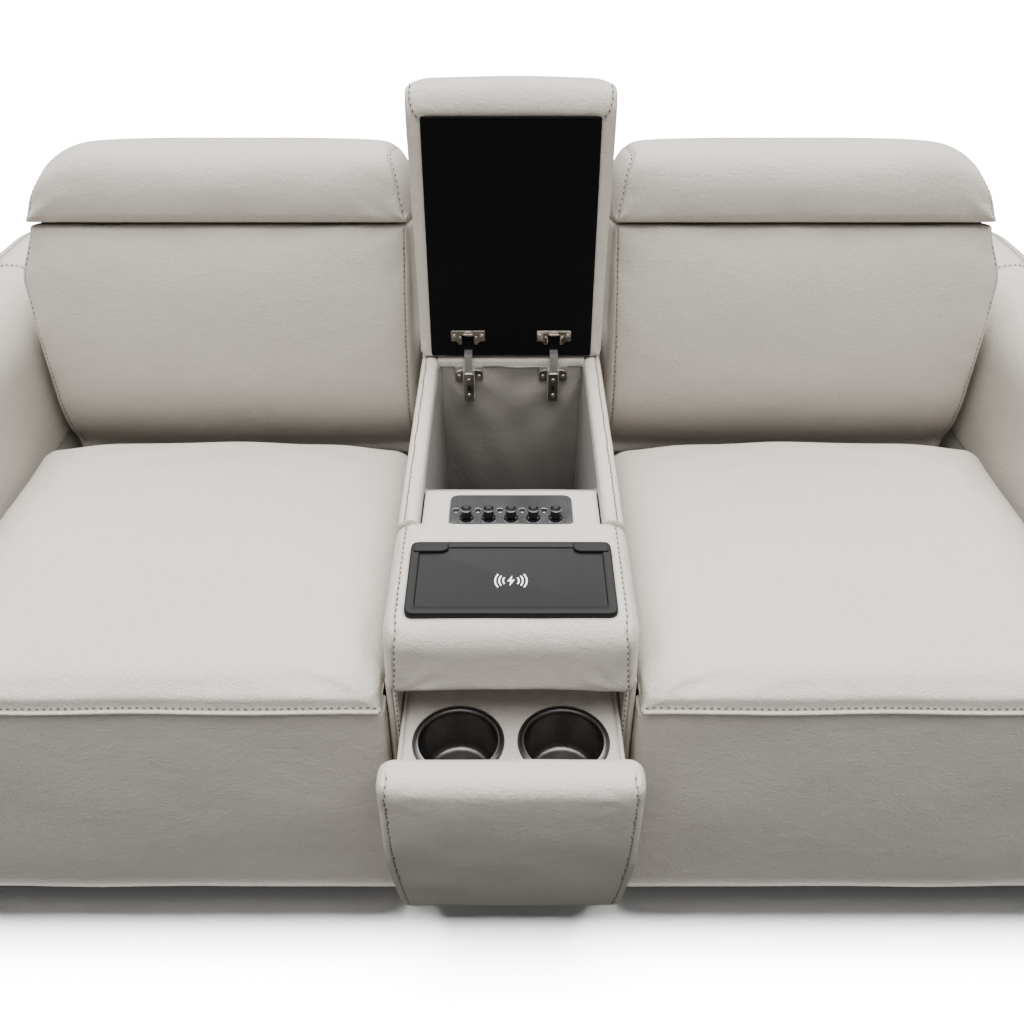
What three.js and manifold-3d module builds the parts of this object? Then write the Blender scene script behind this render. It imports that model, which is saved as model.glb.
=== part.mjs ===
import * as THREE from 'three';
import { mergeVertices } from 'three/addons/utils/BufferGeometryUtils.js';
import loadManifold from 'manifold-3d';

// A two-seat reclining sofa with a storage console between the seats.
// Lengths are in millimetres: x runs across, y from the seat fronts to the back, z up from the floor.

// Fits shared by the whole sofa
const restGap = 0.3; // between pieces that rest on each other
const shaftGap = 0.08; // round a pin or tube that turns in its hole
const slideGap = 0.5; // between pieces that slide past each other
const overrun = 5; // how far a cutting shape passes the piece it cuts
const mergeDistance = 0.0005;

// Overall layout
const footHeight = 30;
const consoleWidth = 280;
const consoleGap = 9; // between the console and a seat
const seatWidth = 606;
const armGap = 3; // between a seat and an arm
const armInner = consoleWidth / 2 + consoleGap + seatWidth + armGap;
const seatCentre = consoleWidth / 2 + consoleGap + seatWidth / 2;
const frameCentre = (consoleWidth / 2 + armInner) / 2;
const frameHalf = (armInner - consoleWidth / 2) / 2 - restGap;

// Arms and feet
const armWidth = 180;
const armDepth = 980;
const armBodyHeight = 530;
const armPadHeight = 82;
const armPadCrown = 8;
const armPadRadius = 34;
const armEdgeRadius = 16;
const footRadius = 28;
const footInset = 85;

// Seat frame
const sidePlate = 12;
const plateFront = 66;
const plateBottom = 60;
const deckBottom = 340;
const deckThickness = 32;
const deckRear = 520;
const rearRailFront = 560;
const rearRailDepth = 25;
const rearRailHeight = 140;

// Seat cushion
const seatLip = 2; // the cushion's front edge, behind the line of the seat fronts
const seatSeam = 415;
const seatTop = 446;
const seatCrown = 22;
const seatRear = 538;
const seatRadius = 30;
const seatDraw = 4;

// Footrest board, pad and links
const padFront = 4;
const padThickness = 36;
const padBulge = 4;
const padToe = 14; // how far the pad's lower edge lies back
const boardThickness = 18;
const boardGap = 5; // under the seat cushion's front edge
const boardTop = seatSeam - boardGap;
const boardBottom = footHeight;
const boardSideInset = 8;
const boardDrop = 8; // of the stiff board's top edge, below its pad's
const linkLength = 250;
const linkWidth = 24;
const linkPlate = 6;
const linkOffset = 200; // from the middle of the frame to a link
const linkFold = 68.9; // degrees that a folded link hangs below its line of travel
const travelHeight = 325; // of the line that the board's pivot follows
const boardPivotDepth = 76; // behind the seat fronts
const torqueTubeRadius = 10;
const kneePinRadius = 6;
const boardPinRadius = 5;
const crankLength = 60;
const crankThickness = 10;

// Footrest actuator
const actuatorOffset = 80;
const actuatorRadius = 17;
const rodRadius = 10;
const actuatorFront = 300;
const actuatorRear = 520;
const actuatorHangerLength = 60;
const actuatorHangerWidth = 26;
const actuatorMotorWidth = 52;
const actuatorMotorLength = 90;
const actuatorMotorHeight = 46;
const rodLength = 210;
const crankWidth = 20;

// Back
const recline = 14.7; // degrees from upright
const backFootY = 552; // where seat and back surfaces meet
const backFootZ = 445;
const backCushionTop = 334; // along the back from that line
const backCushionBottom = -60;
const backCushionCrown = 14;
const backCushionDepth = 130;
const backRadius = 40;
const backDraw = 5;
const backBoardDepth = 25;
const backBoardTop = 330;
const backPivotY = 600;
const backPivotZ = 340;
const backPinRadius = 8;
const lugRadius = 22;
const bracketThickness = 10;
const bracketInset = 14; // from the side plate to the bracket
const coverBottom = -150;
const coverDepth = 64;
const coverSkin = 12;
const coverRadius = 12;
const coverSideInset = 2;

// Recline motor
const motorRadius = 27;
const motorLength = 72;
const motorLegWidth = 34;

// Headrest
const headrestBottom = 342;
const headrestTop = 450;
const headrestDepth = 165;
const headrestRadius = 44;
const headrestSideInset = 3;
const headrestOuterInset = 20;
const headrestPivotDepth = 20;
const headrestPivotHeight = 336.5;
const headrestPlate = 3;
const headrestPlateWidth = 34;
const headrestPlateOffset = 165;
const headrestPinRadius = 2.5;
const headrestPinLength = 60;
const headrestEyeRadius = 5;
const headrestEyeReach = 22; // of the plates that carry the eyes, into the headrest

// Console body
const consolePanel = 6;
const consoleDepth = 740;
const consoleFoot = footHeight;
const noseFront = -6;
const noseRear = 183;
const noseBottom = 435;
const noseTopFront = 549;
const rimFront = 562;
const rimBack = 574;
const noseRadius = 24;
const noseCrown = 3;
const rearDrop = 5; // of the console behind the lid, below its rim
const rearPanelThickness = 22;
const rearTopThickness = 24;

// Storage bin
const binBackFace = 589;
const binBackWall = 20;
const binSideWall = 19.7;
const binFrontWall = 8;
const binFloorTop = 262;
const binFloorThickness = 12;

// Control block, its plate and its buttons
const blockRear = 275;
const blockBottom = 440;
const blockTop = 543;
const plateWidth = 157;
const plateDepth = 68;
const plateThickness = 3;
const plateFrontMargin = 7;
const plateCorner = 12;
const buttonCount = 5;
const buttonRadius = 6.5;
const buttonHeight = 13;
const buttonStem = 8;
const buttonStemRadius = 4;
const buttonPitch = 28;
const buttonInset = 17; // from the plate's front edge
const buttonTravel = 3;
const buttonDish = 1.5;
const buttonRim = 1.2;

// Charging pad
const chargerWidth = 236;
const chargerDepth = 118;
const chargerHeight = 9;
const chargerRim = 7;
const chargerFloor = 4;
const chargerFront = 20;
const chargerCorner = 10;
const chargerBlockWidth = 54;
const chargerBlockDepth = 16;
const chargerSink = 3; // into the nose

// Lid and its hinges
const lidLength = 396;
const lidThickness = 74;
const lidCrown = 8;
const lidRadius = 26;
const lidBoard = 20;
const lidBorder = 16;
const lidHem = 1; // the leather past the board
const lidEndSkin = 1.5;
const lidGap = 0.8; // over the rim
const lidLean = 2; // degrees past upright
const hingeOffset = 66;
const cupPotWidth = 24;
const cupPotFront = 33; // from the hinge line
const cupPotRear = 6.5;
const cupPotHeight = 19;
const cupPotWall = 1.5;
const cupFlangeWidth = 52;
const cupFlangeLength = 16;
const cupFlangePlate = 1.5;
const cupFlangeNeck = 30;
const hingePinRadius = 1.5;
const hingeArmWidth = 12;
const hingeArmPlate = 6;
const hingeArmReach = 26;
const hingeBodyWidth = 18;
const hingeBodyLength = 50;
const hingeBodyDepth = 10;
const hingeWingWidth = 44;
const hingeWingLength = 24;
const hingeWingPlate = 2;

// Drawer
const drawerBack = -66; // rear of the drawer's padded front, as it stands open
const drawerPush = 90; // travel from there until shut
const drawerFrontThickness = 47;
const drawerFrontTop = 427;
const drawerFrontBottom = 54;
const drawerFrontToe = 92; // how far its lower edge lies back
const drawerFrontFoot = 26; // thickness at its lower edge
const drawerFrontKnee = 250; // height above which its rear is upright
const legKneeRise = 36; // of the console's front edge, above that height
const drawerFrontRadius = 18;
const drawerSideClear = 1.5;
const toePower = 1.5;
const trayTop = 379;
const trayThickness = 18;
const trayLength = 246;
const drawerBoxHeight = 74;
const drawerWall = 4;
const runnerWidth = 14;
const runnerHeight = 26;
const runnerDrop = 6; // below the tray
const cupRadius = 45;
const cupWall = 1.5;
const cupDepth = 76;
const cupFlange = 54.5;
const cupRimHeight = 3;
const cupSpacing = 124;
const cupInset = 57; // behind the drawer's front

// Counts that set how finely round and soft shapes are divided
const roundSteps = 12;
const cupSteps = 24;
const buttonSteps = 12;
const cornerSteps = 3;
const edgeSteps = 2;
const softSteps = [8, 7, 5];
const blockSteps = [7, 6, 6];
const panelSteps = [5, 5, 5];
const frontSteps = [6, 13, 5];

const degree = Math.PI / 180;
const sides = [{ name: 'left', sign: -1 }, { name: 'right', sign: 1 }];
const manifoldLibrary = await loadManifold();
manifoldLibrary.setup();
const { Manifold, Mesh: ManifoldMesh } = manifoldLibrary;

// Materials
function finish(color, roughness, metalness = 0) {
  return new THREE.MeshStandardMaterial({ color, roughness, metalness });
}

const leather = finish('#bab4aa', 0.55);
const liningLeather = finish('#a8a299', 0.65);
const felt = finish('#131314', 0.95);
const paintedSteel = finish('#26272a', 0.5, 0.7);
const nickel = finish('#b8b4ac', 0.3, 1);
const brushedSteel = finish('#8f8d8a', 0.35, 1);
const gunmetal = finish('#3a3c40', 0.3, 0.9);
const blackPlastic = finish('#17181a', 0.45);
const chargerPlastic = finish('#36383a', 0.5);
const plywood = finish('#b58f62', 0.7);

// Solids
function positionsOnly(geometry) {
  const bare = new THREE.BufferGeometry();
  bare.setAttribute('position', geometry.getAttribute('position').clone());
  if (geometry.index) bare.setIndex(geometry.index.clone());
  return mergeVertices(bare, mergeDistance);
}

function toSolid(geometry) {
  const bare = positionsOnly(geometry);
  return new Manifold(new ManifoldMesh({
    numProp: 3,
    vertProperties: new Float32Array(bare.attributes.position.array),
    triVerts: new Uint32Array(bare.index.array),
  }));
}

function toGeometry(solid) {
  const mesh = solid.getMesh();
  const geometry = new THREE.BufferGeometry();
  geometry.setAttribute('position', new THREE.BufferAttribute(mesh.vertProperties, 3));
  geometry.setIndex(new THREE.BufferAttribute(mesh.triVerts, 1));
  geometry.computeVertexNormals();
  return geometry;
}

function join(...geometries) {
  return toGeometry(Manifold.union(geometries.map(toSolid)));
}

function cut(geometry, ...tools) {
  return toGeometry(toSolid(geometry).subtract(Manifold.union(tools.map(toSolid))));
}

function span([x0, x1], [y0, y1], [z0, z1]) {
  const geometry = new THREE.BoxGeometry(Math.abs(x1 - x0), Math.abs(y1 - y0), Math.abs(z1 - z0));
  return geometry.translate((x0 + x1) / 2, (y0 + y1) / 2, (z0 + z1) / 2);
}

// A flat outline in y and z, drawn out along x
function sideOutline(points, [x0, x1]) {
  const shape = new THREE.Shape(points.map(([y, z]) => new THREE.Vector2(y, z)));
  const geometry = new THREE.ExtrudeGeometry(shape, { depth: Math.abs(x1 - x0), bevelEnabled: false });
  const axes = [new THREE.Vector3(0, 1, 0), new THREE.Vector3(0, 0, 1), new THREE.Vector3(1, 0, 0)];
  geometry.applyMatrix4(new THREE.Matrix4().makeBasis(...axes));
  return geometry.translate(Math.min(x0, x1), 0, 0);
}

function rodAlongX(radius, [x0, x1], [y, z], steps = roundSteps) {
  const geometry = new THREE.CylinderGeometry(radius, radius, Math.abs(x1 - x0), steps);
  return geometry.rotateZ(Math.PI / 2).translate((x0 + x1) / 2, y, z);
}

// A bore whose flats clear a rod of that radius at every angle
function boreAlongX(radius, run, place) {
  return rodAlongX((radius + shaftGap) / Math.cos(Math.PI / roundSteps), run, place);
}

function rodAlongY(radius, [y0, y1], [x, z], steps = roundSteps) {
  const geometry = new THREE.CylinderGeometry(radius, radius, Math.abs(y1 - y0), steps);
  return geometry.translate(x, (y0 + y1) / 2, z);
}

function rodAlongZ(radius, [z0, z1], [x, y], steps = roundSteps) {
  const geometry = new THREE.CylinderGeometry(radius, radius, Math.abs(z1 - z0), steps);
  return geometry.rotateX(Math.PI / 2).translate(x, y, (z0 + z1) / 2);
}

// A plate with rounded corners, its lower face on z = 0
function roundedPlate(width, depth, height, corner) {
  const x = width / 2;
  const y = depth / 2;
  const shape = new THREE.Shape();
  shape.moveTo(-x + corner, -y);
  shape.lineTo(x - corner, -y).absarc(x - corner, -y + corner, corner, -Math.PI / 2, 0);
  shape.lineTo(x, y - corner).absarc(x - corner, y - corner, corner, 0, Math.PI / 2);
  shape.lineTo(-x + corner, y).absarc(-x + corner, y - corner, corner, Math.PI / 2, Math.PI);
  shape.lineTo(-x, -y + corner).absarc(-x + corner, -y + corner, corner, Math.PI, Math.PI * 1.5);
  const settings = { depth: height, bevelEnabled: false, curveSegments: cornerSteps };
  return new THREE.ExtrudeGeometry(shape, settings);
}

// Spreads an even grid so that its outer steps fall on the rounded edge
function spread(value, half, radius, steps) {
  const edgeShare = (2 * edgeSteps) / steps;
  const share = Math.abs(value) / half;
  const flatShare = 1 - edgeShare;
  const flat = half - radius;
  if (share <= flatShare) return (Math.sign(value) * flat * share) / flatShare;
  return Math.sign(value) * (flat + (radius * (share - flatShare)) / edgeShare);
}

// A stuffed block with rounded edges; shape moves each point by its place p and its shares u, v, t
function softBlock([width, depth, height], radius, steps, shape) {
  const half = new THREE.Vector3(width, depth, height).divideScalar(2);
  const inner = half.clone().subScalar(radius);
  const geometry = positionsOnly(new THREE.BoxGeometry(width, depth, height, ...steps));
  const places = geometry.attributes.position;
  const p = new THREE.Vector3();
  for (let i = 0; i < places.count; i += 1) {
    p.fromBufferAttribute(places, i);
    p.set(spread(p.x, half.x, radius, steps[0]), spread(p.y, half.y, radius, steps[1]),
      spread(p.z, half.z, radius, steps[2]));
    const core = p.clone().clamp(inner.clone().negate(), inner);
    const out = p.clone().sub(core);
    if (out.length() > 0) p.copy(core.add(out.setLength(radius)));
    if (shape) shape(p, p.x / half.x, p.y / half.y, p.z / half.z);
    places.setXYZ(i, p.x, p.y, p.z);
  }
  geometry.computeVertexNormals();
  return geometry;
}

// Raises the middle of a cushion's face and draws in the middle of its sides
function crowned(crown, draw) {
  return (p, u, v, t) => {
    p.z += crown * (1 - u * u) * (1 - v * v) * Math.max(t, 0);
    p.x -= draw * u * (1 - v * v);
  };
}

function piece(group, name, geometry, material) {
  const mesh = new THREE.Mesh(geometry, material);
  mesh.name = name;
  group.add(mesh);
  return mesh;
}

function placed(parent, [x, y, z], tilt = 0) {
  const group = new THREE.Group();
  group.position.set(x, y, z);
  group.rotation.x = tilt;
  parent.add(group);
  return group;
}

// Arms
function addArm(sofa, { name, sign }) {
  const group = placed(sofa, [sign * (armInner + armWidth / 2), armDepth / 2, footHeight]);
  const body = softBlock([armWidth, armDepth, armBodyHeight], armEdgeRadius, panelSteps);
  piece(group, `arm_body_${name}`, body.translate(0, 0, armBodyHeight / 2), leather);
  const shape = crowned(armPadCrown, 0);
  const pad = softBlock([armWidth, armDepth, armPadHeight], armPadRadius, softSteps, shape);
  piece(group, `arm_pad_${name}`, pad.translate(0, 0, armBodyHeight + restGap + armPadHeight / 2), leather);
  const ends = [['front', footInset - armDepth / 2], ['rear', armDepth / 2 - footInset]];
  for (const [end, y] of ends) {
    const foot = rodAlongZ(footRadius, [-footHeight, -restGap], [0, y]);
    piece(group, `foot_${end}_${name}`, foot, blackPlastic);
  }
}

// The fixed frame under a seat
const pivotRunY = boardPivotDepth + 2 * linkLength * Math.cos(linkFold * degree);
const torqueTube = [pivotRunY, travelHeight];
const backPivot = [backPivotY, backPivotZ];

function seatPlate(x) {
  const low = plateBottom;
  const rear = rearRailFront + rearRailDepth;
  const lugFront = backPivotY - lugRadius;
  const lugRear = backPivotY + lugRadius;
  const outline = [
    [legFront + legToe + slideGap, low], [rear, low], [rear, low + rearRailHeight],
    [lugRear, backPivotZ - lugRadius / 2], [lugRear, backPivotZ + lugRadius / 2],
    [backPivotY + lugRadius / 2, backPivotZ + lugRadius],
    [backPivotY - lugRadius / 2, backPivotZ + lugRadius], [lugFront, deckBottom + restGap],
    [plateFront, deckBottom + restGap], [plateFront, drawerFrontKnee + legKneeRise],
  ];
  return sideOutline(outline, x);
}

function addSeatFrame(group, name) {
  const inner = frameHalf - sidePlate;
  const deck = span([-frameHalf, frameHalf], [plateFront, deckRear], [deckBottom, deckBottom + deckThickness]);
  const railTop = plateBottom + rearRailHeight;
  const rail = span([-inner - restGap, inner + restGap], [rearRailFront, rearRailFront + rearRailDepth],
    [plateBottom, railTop]);
  const plates = [seatPlate([-frameHalf, -inner]), seatPlate([inner, frameHalf])];
  const across = [-frameHalf - overrun, frameHalf + overrun];
  const tubeHole = boreAlongX(torqueTubeRadius, across, torqueTube);
  const backHole = boreAlongX(backPinRadius, across, backPivot);
  piece(group, `seat_frame_${name}`, cut(join(deck, rail, ...plates), tubeHole, backHole), paintedSteel);
}

function addSeatCushion(group, name) {
  const bottom = deckBottom + deckThickness + restGap;
  const depth = seatRear - seatLip;
  const height = seatTop - bottom;
  const block = softBlock([seatWidth, depth, height], seatRadius, softSteps, crowned(seatCrown, seatDraw));
  block.translate(0, seatLip + depth / 2, bottom + height / 2);
  const room = padFront + padThickness + boardThickness + boardGap + restGap;
  const under = span([-seatWidth, seatWidth], [-overrun, Math.max(room, plateFront)], [bottom - overrun, seatSeam]);
  piece(group, `seat_cushion_${name}`, cut(block, under), leather);
}

// Footrest: the upper links turn in the frame, the lower ones carry the board
const foldedAngle = linkFold * degree;
const knee = [
  pivotRunY - linkLength * Math.cos(foldedAngle),
  travelHeight - linkLength * Math.sin(foldedAngle),
];
const boardPivot = [boardPivotDepth, travelHeight];

function linkBar(from, to, x) {
  const bar = new THREE.BoxGeometry(linkPlate, Math.hypot(to[0] - from[0], to[1] - from[1]), linkWidth);
  bar.rotateX(Math.atan2(to[1] - from[1], to[0] - from[0]));
  bar.translate(x, (from[0] + to[0]) / 2, (from[1] + to[1]) / 2);
  const cheek = [x - linkPlate / 2, x + linkPlate / 2];
  const eyes = [from, to].map((place) => rodAlongX(linkWidth / 2, cheek, place));
  return join(bar, ...eyes);
}

function addFootrestLinks(group, name, inboard) {
  const upperX = linkOffset;
  const lowerX = linkOffset + linkPlate + slideGap;
  const uppers = [-upperX, upperX].map((x) => linkBar(torqueTube, knee, x));
  const tube = rodAlongX(torqueTubeRadius, [-frameHalf + restGap, frameHalf - restGap], torqueTube);
  const crankX = inboard * actuatorOffset;
  const crank = span([crankX - crankThickness / 2, crankX + crankThickness / 2],
    [pivotRunY - crankWidth / 2, pivotRunY + crankWidth / 2],
    [travelHeight - crankLength - crankWidth / 2, travelHeight]);
  const kneeHole = boreAlongX(kneePinRadius, [-seatWidth, seatWidth], knee);
  piece(group, `footrest_upper_link_${name}`, cut(join(...uppers, tube, crank), kneeHole), paintedSteel);

  const lowers = [-lowerX, lowerX].map((x) => linkBar(knee, boardPivot, x));
  const kneeRod = rodAlongX(kneePinRadius, [-lowerX, lowerX], knee);
  const pinEnd = linkOffset - linkPlate / 2 - slideGap;
  const pins = sides.map(({ sign }) => rodAlongX(boardPinRadius, [sign * pinEnd, sign * lowerX], boardPivot));
  piece(group, `footrest_lower_link_${name}`, join(...lowers, kneeRod, ...pins), paintedSteel);
}

function addFootrestBoard(group, name, sign) {
  const height = boardTop - boardBottom;
  const face = padFront + padThickness + restGap;
  const half = seatWidth / 2 - boardSideInset;
  const shift = sign * (seatCentre - frameCentre);
  const board = span([shift - half, shift + half], [face, face + boardThickness],
    [boardBottom, boardTop - boardDrop]);
  const ears = [-1, 1].map((ear) => {
    const x = ear * linkOffset;
    const cheek = [x - linkPlate / 2, x + linkPlate / 2];
    const root = face + boardThickness - restGap;
    const arm = span(cheek, [root, boardPivotDepth], [travelHeight - linkWidth / 2, travelHeight + linkWidth / 2]);
    return join(arm, rodAlongX(linkWidth / 2, cheek, boardPivot));
  });
  const hole = boreAlongX(boardPinRadius, [-seatWidth, seatWidth], boardPivot);
  piece(group, `footrest_board_${name}`, cut(join(board, ...ears), hole), plywood);

  const size = [seatWidth, height, padThickness];
  const pad = softBlock(size, padThickness / 2 - restGap, softSteps, (p, u, v, t) => {
    p.z += padBulge * (1 - u * u) * (1 - v * v) * Math.max(t, 0);
    p.z -= padToe * ((1 - v) / 2) ** 2 * Math.max(t, 0);
  });
  pad.rotateX(Math.PI / 2).translate(shift, padFront + padThickness / 2, boardBottom + height / 2);
  piece(group, `footrest_pad_${name}`, pad, leather);
}

// The footrest's actuator, hung from the deck, and its rod behind the crank
function addActuator(group, name, inboard) {
  const x = inboard * actuatorOffset;
  const z = travelHeight - crankLength;
  const tube = rodAlongY(actuatorRadius, [actuatorFront, actuatorRear], [x, z]);
  const hanger = span([x - actuatorHangerWidth / 2, x + actuatorHangerWidth / 2],
    [actuatorRear - actuatorHangerLength, actuatorRear], [z, deckBottom - restGap]);
  const motor = span([x - actuatorMotorWidth / 2, x + actuatorMotorWidth / 2],
    [actuatorRear - actuatorMotorLength, actuatorRear], [z - actuatorRadius - actuatorMotorHeight, z]);
  const rodFront = pivotRunY + crankWidth / 2 + slideGap;
  const rodRear = rodFront + rodLength;
  const bore = rodAlongY(rodRadius + shaftGap, [actuatorFront - overrun, rodRear + restGap], [x, z]);
  piece(group, `footrest_actuator_${name}`, cut(join(tube, hanger, motor), bore), blackPlastic);
  const rod = rodAlongY(rodRadius, [rodFront, rodRear], [x, z]);
  piece(group, `footrest_rod_${name}`, rod, brushedSteel);
}

function addReclineMotor(group, name, inboard) {
  const bracketEnd = frameHalf - sidePlate - bracketInset - bracketThickness - restGap;
  const run = [inboard * bracketEnd, inboard * (bracketEnd - motorLength)];
  const housing = rodAlongX(motorRadius, run, backPivot);
  const middle = (run[0] + run[1]) / 2;
  const legRear = rearRailFront + rearRailDepth;
  const leg = span([middle - motorLegWidth / 2, middle + motorLegWidth / 2],
    [rearRailFront, legRear], [plateBottom + rearRailHeight + restGap, backPivotZ]);
  piece(group, `recline_motor_${name}`, join(housing, leg), blackPlastic);
}

// Back: in its own frame y runs through the back and z up along it
const backTilt = -recline * degree;
const pivotRun = new THREE.Vector2(backPivotY - backFootY, backPivotZ - backFootZ);
pivotRun.rotateAround(new THREE.Vector2(0, 0), -backTilt);
const backPin = [pivotRun.x, pivotRun.y];

const coverHalf = seatWidth / 2 - coverSideInset;

function addBackFrame(group, name, shift) {
  const front = backCushionDepth + restGap;
  const rear = front + backBoardDepth;
  const half = coverHalf - coverSkin - restGap;
  const board = span([shift - half, shift + half], [front, rear],
    [backCushionBottom + overrun, backBoardTop]);
  const bracketOuter = frameHalf - sidePlate - bracketInset;
  const [pinY, pinZ] = backPin;
  const under = backCushionBottom - slideGap - overrun;
  const outline = [
    [front, backCushionBottom + lugRadius], [rear, backCushionBottom + lugRadius],
    [rear, pinZ + lugRadius / 2], [pinY + lugRadius, pinZ - lugRadius], [pinY - lugRadius / 2, pinZ - lugRadius],
    [pinY - lugRadius, pinZ], [pinY - lugRadius / 2, under], [front, under],
  ];
  const parts = [board];
  for (const { sign } of sides) {
    parts.push(sideOutline(outline, [sign * bracketOuter, sign * (bracketOuter - bracketThickness)]));
    const pin = [sign * (bracketOuter - bracketThickness / 2), sign * (frameHalf - restGap)];
    parts.push(rodAlongX(backPinRadius, pin, backPin));
    const x = sign * headrestPlateOffset;
    const plate = [headrestPivotHeight - headrestPlate / 2, headrestPivotHeight + headrestPlate / 2];
    const cheek = [x - headrestPlateWidth / 2, x + headrestPlateWidth / 2];
    parts.push(span(cheek, [headrestPivotDepth, rear], plate));
    parts.push(span(cheek, [front, rear], [backBoardTop - overrun, headrestPivotHeight]));
    const eye = [x - headrestPinLength / 2, x + headrestPinLength / 2];
    parts.push(rodAlongX(headrestPinRadius, eye, [headrestPivotDepth, headrestPivotHeight]));
  }
  piece(group, `back_frame_${name}`, join(...parts), paintedSteel);
}

function addBackSoftParts(group, name, shift) {
  const length = backCushionTop - backCushionBottom;
  const depth = backCushionDepth - backCushionCrown;
  const cushion = softBlock([seatWidth, length, depth], backRadius, softSteps, crowned(backCushionCrown, backDraw));
  cushion.rotateX(Math.PI / 2).translate(shift, backCushionCrown + depth / 2, backCushionBottom + length / 2);
  piece(group, `back_cushion_${name}`, cushion, leather);

  const coverFront = backCushionDepth + restGap;
  const height = backCushionTop - coverBottom;
  const shell = softBlock([2 * coverHalf, coverDepth, height], coverRadius, panelSteps);
  shell.translate(shift, coverFront + coverDepth / 2, coverBottom + height / 2);
  const room = span([shift - coverHalf + coverSkin, shift + coverHalf - coverSkin],
    [coverFront - overrun, coverFront + coverDepth - coverSkin],
    [coverBottom + coverSkin, backCushionTop + overrun]);
  piece(group, `back_cover_${name}`, cut(shell, room), leather);
}

function addHeadrest(group, name, shift) {
  const height = headrestTop - headrestBottom;
  const width = seatWidth - headrestSideInset - headrestOuterInset;
  const block = softBlock([width, headrestDepth, height], headrestRadius, blockSteps);
  block.translate(shift, headrestDepth / 2, headrestBottom + height / 2);
  const pivot = [headrestPivotDepth, headrestPivotHeight];
  const eyes = [];
  for (const { sign } of sides) {
    for (const end of [-1, 1]) {
      const x = sign * headrestPlateOffset;
      const cheek = [x + end * (headrestPlateWidth / 2 + slideGap), (x + (end * headrestPinLength) / 2)];
      eyes.push(rodAlongX(headrestEyeRadius, cheek, pivot));
      eyes.push(span(cheek, [pivot[0] - headrestEyeRadius, pivot[0] + headrestEyeRadius],
        [pivot[1], headrestBottom + headrestEyeReach]));
    }
  }
  const bore = boreAlongX(headrestPinRadius, [-seatWidth, seatWidth], pivot);
  piece(group, `headrest_${name}`, cut(join(block, ...eyes), bore), leather);
}

function addSeat(sofa, { name, sign }) {
  const frame = placed(sofa, [sign * frameCentre, 0, 0]);
  const shift = sign * (seatCentre - frameCentre);
  addSeatFrame(frame, name);
  addFootrestLinks(frame, name, -sign);
  addFootrestBoard(frame, name, sign);
  addActuator(frame, name, -sign);
  addReclineMotor(frame, name, -sign);
  addSeatCushion(placed(frame, [shift, 0, 0]), name);
  const back = placed(frame, [0, backFootY, backFootZ], backTilt);
  addBackFrame(back, name, shift);
  addBackSoftParts(back, name, shift);
  addHeadrest(back, name, shift - (sign * (headrestOuterInset - headrestSideInset)) / 2);
}

// Console body
const panelInner = consoleWidth / 2 - consolePanel;
const rimSlope = (rimBack - rimFront) / (binBackFace - noseRear);
const rimAt = (y) => rimBack + (y - binBackFace) * rimSlope;
const binRear = binBackFace + binBackWall;
const legFront = drawerBack + drawerPush + slideGap;
const legToe = drawerFrontToe - (drawerFrontThickness - drawerFrontFoot);
const rearTop = rimBack - rearDrop;

function addConsoleSides(group) {
  const outline = [
    [legFront + legToe, consoleFoot], [consoleDepth, consoleFoot], [consoleDepth, rearTop], [binRear, rearTop],
    [binRear, rimBack - restGap], [binBackFace, rimBack - restGap], [noseRear + restGap, rimAt(noseRear) - restGap],
    [noseRear + restGap, noseBottom - restGap], [legFront, noseBottom - restGap],
    [legFront, drawerFrontKnee + legKneeRise], [legFront + legToe, drawerFrontBottom],
  ];
  for (const { name, sign } of sides) {
    const panel = sideOutline(outline, [sign * panelInner, sign * (consoleWidth / 2)]);
    piece(group, `console_side_${name}`, panel, leather);
  }
}

function addConsoleRear(group) {
  const half = panelInner - restGap;
  const top = span([-half, half], [binRear + restGap, consoleDepth], [rearTop - rearTopThickness, rearTop]);
  const panel = span([-half, half], [consoleDepth - rearPanelThickness, consoleDepth], [consoleFoot, rearTop]);
  piece(group, 'console_rear', join(top, panel), leather);
}

function addStorageBin(group) {
  const half = panelInner - restGap;
  const inner = half - binSideWall;
  const front = blockRear + restGap;
  const bottom = binFloorTop - binFloorThickness;
  const outline = [
    [front, bottom], [binRear, bottom], [binRear, rimBack - restGap], [binBackFace, rimBack - restGap],
    [front, rimAt(front) - restGap],
  ];
  const room = span([-inner, inner], [front + binFrontWall, binBackFace], [binFloorTop, rimBack + overrun]);
  const gate = span([-inner, inner], [front - overrun, binBackFace], [blockTop, rimBack + overrun]);
  const box = cut(sideOutline(outline, [-half, half]), room, gate);
  piece(group, 'storage_bin', box, liningLeather);
}

function addNose(group) {
  const depth = noseRear - noseFront;
  const height = noseTopFront - noseBottom;
  const rise = rimAt(noseRear) - noseTopFront;
  const block = softBlock([consoleWidth, depth, height], noseRadius, blockSteps, (p, u, v, t) => {
    p.z += (noseCrown * (1 - u * u) * (1 - v * v) + (rise * (1 + v)) / 2) * Math.max(t, 0);
  });
  block.translate(0, noseFront + depth / 2, noseBottom + height / 2);
  const tilt = Math.atan2(rise, depth);
  const seat = roundedPlate(chargerWidth + 2 * restGap, chargerDepth + 2 * restGap, noseRadius, chargerCorner);
  seat.translate(0, chargerDepth / 2, 0).rotateX(tilt);
  const ground = noseTopFront + (chargerFront - noseFront) * (rise / depth) - chargerSink;
  seat.translate(0, chargerFront, ground);
  piece(group, 'console_nose', cut(block, seat), leather);
  addCharger(placed(group, [0, chargerFront, ground + restGap], tilt));
}

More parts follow.
